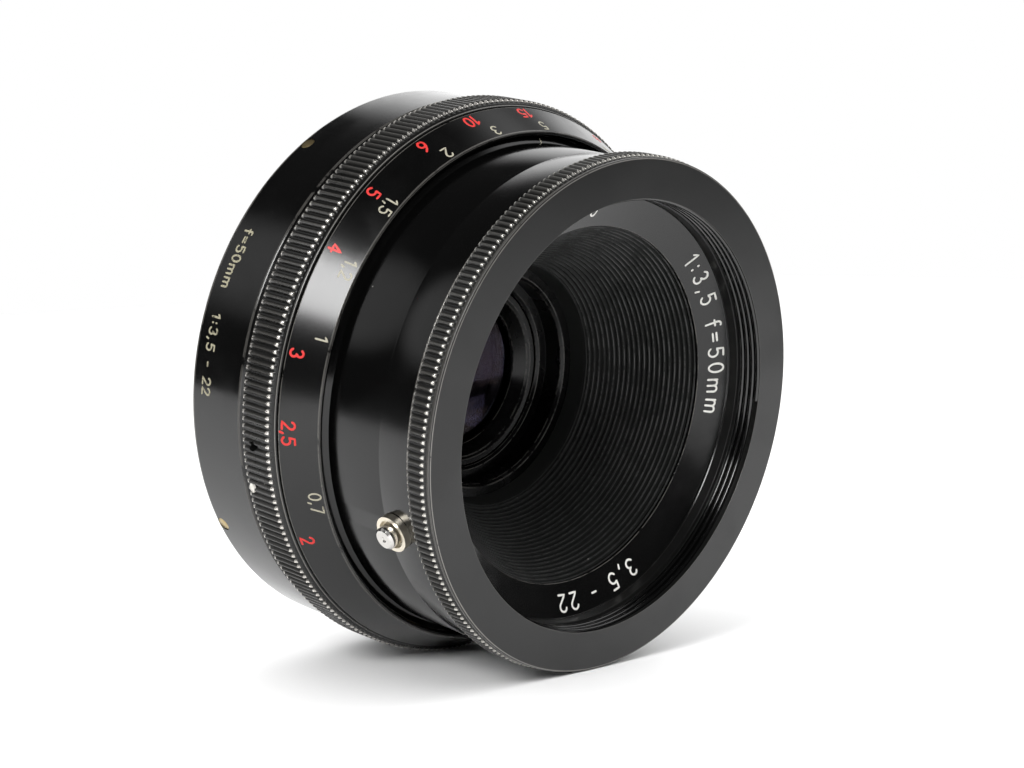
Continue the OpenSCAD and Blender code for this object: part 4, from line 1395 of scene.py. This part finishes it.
@dataclass
class FrontOptics(Assembly):
    """Name ring, ribbed baffle, front cell and the glass."""

    body: str = "barrel"
    ring_width: float = 4.4
    ring_drop: float = 1.7
    ring_wall: float = 0.8
    rim_step: float = 0.75
    rim_dip: float = 0.17
    data_radius: float = 22.6
    data: tuple[tuple[str, float], ...] = (("1:3,5 f=50mm", 69.5), ("3,5 - 22", 166.0),
                                           ("50", -7.0))
    data_style: Lettering = field(default_factory=lambda: Lettering(1.92, 0.3, gap=0.42))
    rib_count: int = 22
    rib_height: float = 0.3
    baffle_rear: float = 16.88
    baffle_rear_radius: float = 14.2
    mouth: float = 12.3
    cell_radius: float = 15.0
    cell_bore: float = 9.15
    cell_tail: float = 10.55
    seat_radius: float = 10.95
    seat: float = 9.78
    keeper_bore: float = 8.65
    ball: float = 24.0
    shoulder: float = 9.7
    crown_steps: int = 24

    def build(self) -> None:
        """Makes every piece behind the bezel."""
        self._name_ring()
        self._baffle()
        self._cell()
        self._glass()

    def _name_ring(self) -> None:
        """Dished ring with generic lens data."""
        n = Span.of("name_ring")
        inner = n.radius - self.ring_width
        low, back = n.front - self.ring_drop, n.front - self.ring_wall
        self.turn("data_ring", [
            Corner(inner, low - self.ring_wall), Corner(inner, low, 0.05, 0.25),
            Corner(n.radius - self.rim_step, n.front - self.rim_dip, 0.04),
            Corner(n.radius - 0.68, n.front, 0.03, 0.2), Corner(n.radius, n.front, 0.05, 0.2),
            Corner(n.radius, back), Corner(n.radius - 0.3, back)], Finishes.NAME, "name_ring")
        slope = (self.ring_drop - self.rim_dip) / (self.ring_width - self.rim_step)
        station = low + (self.data_radius - inner) * slope
        self.mark("data_characters", Finishes.WHITE_FILL, [
            (self.data_style, label, dish_place(clock, self.data_radius, station, slope))
            for label, clock in self.data])

    def _baffle(self) -> None:
        """Conical baffle and its ribs."""
        n = Span.of("name_ring")
        lip = n.radius - self.ring_width
        front = n.front - self.ring_drop
        rear, rear_r, deep = self.baffle_rear, self.baffle_rear_radius, self.rib_height
        cell = Span.of("front_cell").front
        self.turn("baffle_cone", [
            Corner(rear_r + deep, rear + 0.1), Corner(lip + deep, front - 0.85),
            Corner(lip + deep + 0.3, front - 0.85), Corner(rear_r + deep + 0.8, rear - 0.2),
            Corner(self.mouth + 2.3, cell), Corner(self.mouth + 1.4, cell, 0.06, 0.1),
            Corner(rear_r, rear - 0.25, 0.12, 0.1), Corner(rear_r + 0.02, rear, 0.06, 0.1)],
            Finishes.BAFFLE, "ribbed_baffle")
        pitch = (front - rear) / self.rib_count
        taper = (lip - rear_r) / self.rib_count
        # Full edge value on both crest corners: the worn colour lays broken lighter lines along the
        # rib crests, painted highlight lines.
        rib = Section([
            Corner(rear_r + deep + 0.06, -0.5 * pitch), Corner(rear_r, -0.12 * pitch, 0.04, 1.0),
            Corner(rear_r + taper * 0.25, 0.16 * pitch, 0.04, 1.0),
            Corner(rear_r + deep + taper, 0.42 * pitch)], steps=2).spin("rib", 256)
        ribs = RibTree().run(rib, Finishes.BAFFLE, Count=self.rib_count,
                             Rear_Radius=rear_r * MM, Front_Radius=lip * MM, Rear=rear * MM,
                             Front=(front - 0.2) * MM)
        self.add("baffle_ribs", ribs, Finishes.BAFFLE)

    def _cell(self) -> None:
        """Front cell and the keeper ring of the front element."""
        c = Span.of("front_cell")
        self.turn("front_cell_body", [
            Corner(self.cell_bore, c.rear + 1.4), Corner(self.cell_tail, c.rear, 0.1),
            Corner(self.cell_tail, c.rear + 1.3), Corner(self.cell_radius, c.rear + 1.4, 0.1),
            Corner(self.cell_radius, c.front, 0.1), Corner(self.mouth + 0.35, c.front, 0.08, 0.1),
            Corner(self.mouth, c.front - 0.35, 0.08, 0.1), Corner(self.mouth, c.front - 2.7, 0.04),
            Corner(self.seat_radius + 0.35, c.front - 2.8, 0.06, 0.1),
            Corner(self.seat_radius, c.front - 3.1, 0.06, 0.1),
            Corner(self.seat_radius, self.seat, 0.04), Corner(self.cell_bore, self.seat, 0.05)],
            Finishes.INNER, "front_cell")
        k = Span.of("front_keeper_ring")
        rear = k.rear + 0.02
        self.turn("keeper_ring", [
            Corner(self.keeper_bore, rear),
            Corner(self.keeper_bore + 0.07, k.rear + 0.28, 0.06, 0.1),
            Corner(9.85, k.front - 0.32, 0.08, 0.1), Corner(10.2, k.front - 0.1, 0.06, 0.1),
            Corner(k.radius - 0.12, k.front, 0.06, 0.1), Corner(k.radius - 0.06, rear)],
            Finishes.INNER, "front_keeper_ring")

    def _glass(self) -> None:
        """Front element, turned from its crown to its flat rear face."""
        e = Span.of("front_element")
        corners = [Corner(TIP, e.front)]
        for k in range(1, self.crown_steps + 1):
            r = (e.radius - 0.35) * k / self.crown_steps
            corners.append(Corner(r, e.front - (self.ball - math.sqrt(self.ball ** 2 - r * r))))
        corners += [Corner(e.radius, min(self.shoulder, corners[-1].station) - 0.1),
                    Corner(e.radius, e.rear + 0.05), Corner(e.radius - 0.1, e.rear),
                    Corner(TIP, e.rear)]
        self.add("front_glass", Section(corners).spin("front_glass", 160), Finishes.FRONT_GLASS,
                 "front_element")


class CarriedParts:
    """CAD nodes that keep their own shape and take a finish here."""

    FINISHED: tuple[tuple[Surface, tuple[str, ...]], ...] = (
        (Finishes.BRASS, ("focusing_helicoid", "barrel_helicoid", "guide_keys",
                          "thrust_washer")),
        (Finishes.ALLOY, ("bearing_housing", "guide_tube", "helicoid_retaining_ring")),
        (Finishes.STEEL, ("flange_screws", "guide_screws", "bulkhead_screws", "iris_screws",
                          "focus_stop_pin", "release_plunger", "release_spring")),
        (Finishes.INNER, ("lens_tube", "iris_housing", "rear_cell", "rear_keeper_ring",
                          "element_spacer", "aperture_drive_fork", "iris_drive_ring")),
        (Finishes.BLADE, tuple(f"iris_blade_{i}" for i in range(1, 7))),
        (Finishes.INNER_GLASS, ("second_element", "rear_doublet_front", "rear_doublet_back")),
        (Finishes.GRIP_SCREW, ("grip_screws",)),
        (Finishes.BOSS, ("release_boss",)),
    )

    def build(self) -> None:
        """Puts the finish on each node's own material slots."""
        for finish, nodes in self.FINISHED:
            for node in nodes:
                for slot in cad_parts[node].material_slots:
                    slot.link = "OBJECT"
                    slot.material = finish.build()
                LOG.info("%s: %s", node, finish.name)


# ---- Stage ------------------------------------------------------------------------------------


@dataclass
class Studio:
    """Floor, lights, surroundings and camera."""

    floor_rear: tuple[float, float] = (13.1, 32.5)
    floor_front: tuple[float, float] = (35.0, 28.95)
    floor_gap: float = 0.03
    floor_x: tuple[float, float] = (-210.0, 900.0)
    floor_y: tuple[float, float] = (-170.0, 700.0)
    wall_level: float = 0.035
    lobes: tuple[tuple[tuple[float, float, float], float, float, float], ...] = (
        ((0.74, 0.66, 0.14), 0.97, 0.82, 1.5), ((0.68, -0.1, 0.72), 0.97, 0.90, 1.5),
        ((-0.60, 0.67, 0.42), 0.985, 0.94, 0.6))
    middle: tuple[float, float, float] = (0.0, -0.018, 0.0)
    camera_place: tuple[float, float, float] = (-198.2, -205.0, 53.6)
    camera_right: tuple[float, float, float] = (0.69575, -0.71181, 0.09624)
    camera_up: tuple[float, float, float] = (0.07178, 0.20222, 0.97671)
    camera_lens: float = 85.1

    def build(self) -> None:
        """Makes the stage."""
        bpy.context.scene.view_settings.view_transform = "Standard"
        self._floor()
        self._surroundings()
        self._panel("window", (-0.84, -0.15, 0.52), 0.62, (0.26, 0.24), 17.0, True)
        self._panel("top fill", (0.1, 0.15, 0.98), 0.9, (3.2, 3.2), 1.5, False)
        self._panel("front fill", (0.35, -0.85, 0.4), 0.9, (0.6, 0.4), 1.2, False)
        self._camera()

    def _floor(self) -> None:
        """Pale floor that touches the grip and the front ring."""
        (s0, r0), (s1, r1) = self.floor_rear, self.floor_front
        rise = (r0 - r1) / (s1 - s0)
        (x0, x1), (y0, y1) = self.floor_x, self.floor_y
        verts = [(x * MM, y * MM, (-r0 - self.floor_gap + rise * (-y - s0)) * MM)
                 for x, y in ((x0, y0), (x1, y0), (x1, y1), (x0, y1))]
        mesh = bpy.data.meshes.new("floor")
        mesh.from_pydata(verts, [], [(0, 1, 2, 3)])
        material = bpy.data.materials.new("Pale floor")
        material.use_nodes = True
        shader = material.node_tree.nodes["Principled BSDF"].inputs
        shader["Base Color"].default_value = (0.86, 0.86, 0.86, 1.0)
        shader["Roughness"].default_value = 0.6
        shader["Specular IOR Level"].default_value = 0.2
        mesh.materials.append(material)
        floor = bpy.data.objects.new("floor", mesh)
        bpy.context.scene.collection.objects.link(floor)

    def _surroundings(self) -> None:
        """White to the eye, with dim walls and brighter patches for the lacquer to mirror."""
        world = bpy.data.worlds.new("Room")
        bpy.context.scene.world = world
        world.use_nodes = True
        world.node_tree.nodes.clear()
        g = NodeGraph(world.node_tree)
        direction = g.add("ShaderNodeTexCoord").outputs["Generated"]
        level: object = self.wall_level
        for toward, near, far, strength in self.lobes:
            dot = g.add("ShaderNodeVectorMath", {0: direction, 1: Vector(toward).normalized()},
                        operation="DOT_PRODUCT")
            level = g.math("ADD", level, g.ramp(dot.outputs["Value"], far, near, 0.0, strength))
        room, white = (
            g.add("ShaderNodeBackground", {"Strength": strength, "Color": (1.0, 1.0, 1.0, 1.0)})
            for strength in (level, 1.0))
        eye = g.add("ShaderNodeLightPath").outputs["Is Camera Ray"]
        mix = g.add("ShaderNodeMixShader", {0: eye, 1: room.outputs[0], 2: white.outputs[0]})
        g.add("ShaderNodeOutputWorld", {"Surface": mix.outputs[0]})

    def _panel(self, name: str, toward: tuple[float, float, float], distance: float,
               size: tuple[float, float], radiance: float, mirrored: bool) -> None:
        """Adds a rectangular light that faces the lens.

        Args:
            name: Name of the light.
            toward: Direction from the lens to the light.
            distance: Distance in metres.
            size: Width and height in metres.
            radiance: Brightness of its surface.
            mirrored: Whether glossy surfaces show it.
        """
        data = bpy.data.lights.new(name, "AREA")
        data.shape = "RECTANGLE"
        data.size, data.size_y = size
        data.energy = radiance * math.pi * size[0] * size[1]
        lamp = bpy.data.objects.new(name, data)
        bpy.context.scene.collection.objects.link(lamp)
        aim = Vector(toward).normalized()
        lamp.location = Vector(self.middle) + aim * distance
        lamp.rotation_euler = (-aim).to_track_quat("-Z", "Y").to_euler()
        lamp.visible_glossy = mirrored
        lamp.visible_camera = False

    def _camera(self) -> None:
        """Camera at the viewing angle."""
        data = bpy.data.cameras.new("camera")
        data.lens, data.sensor_width = self.camera_lens, 36.0
        data.clip_start, data.clip_end = 0.01, 10.0
        camera = bpy.data.objects.new("camera", data)
        bpy.context.scene.collection.objects.link(camera)
        right = Vector(self.camera_right).normalized()
        up = Vector(self.camera_up).normalized()
        turn = Matrix((right, up, right.cross(up).normalized())).transposed().to_4x4()
        camera.matrix_world = Matrix.Translation(Vector(self.camera_place) * MM) @ turn
        bpy.context.scene.camera = camera


def main() -> None:
    logging.basicConfig(level=logging.INFO, format="%(message)s")
    for part in (RearMount(), FocusRing(), Barrel(), ApertureRing(), FrontOptics(),
                 CarriedParts(), Studio()):
        LOG.info("building %s", type(part).__name__)
        part.build()


if __name__ == "__main__":
    main()
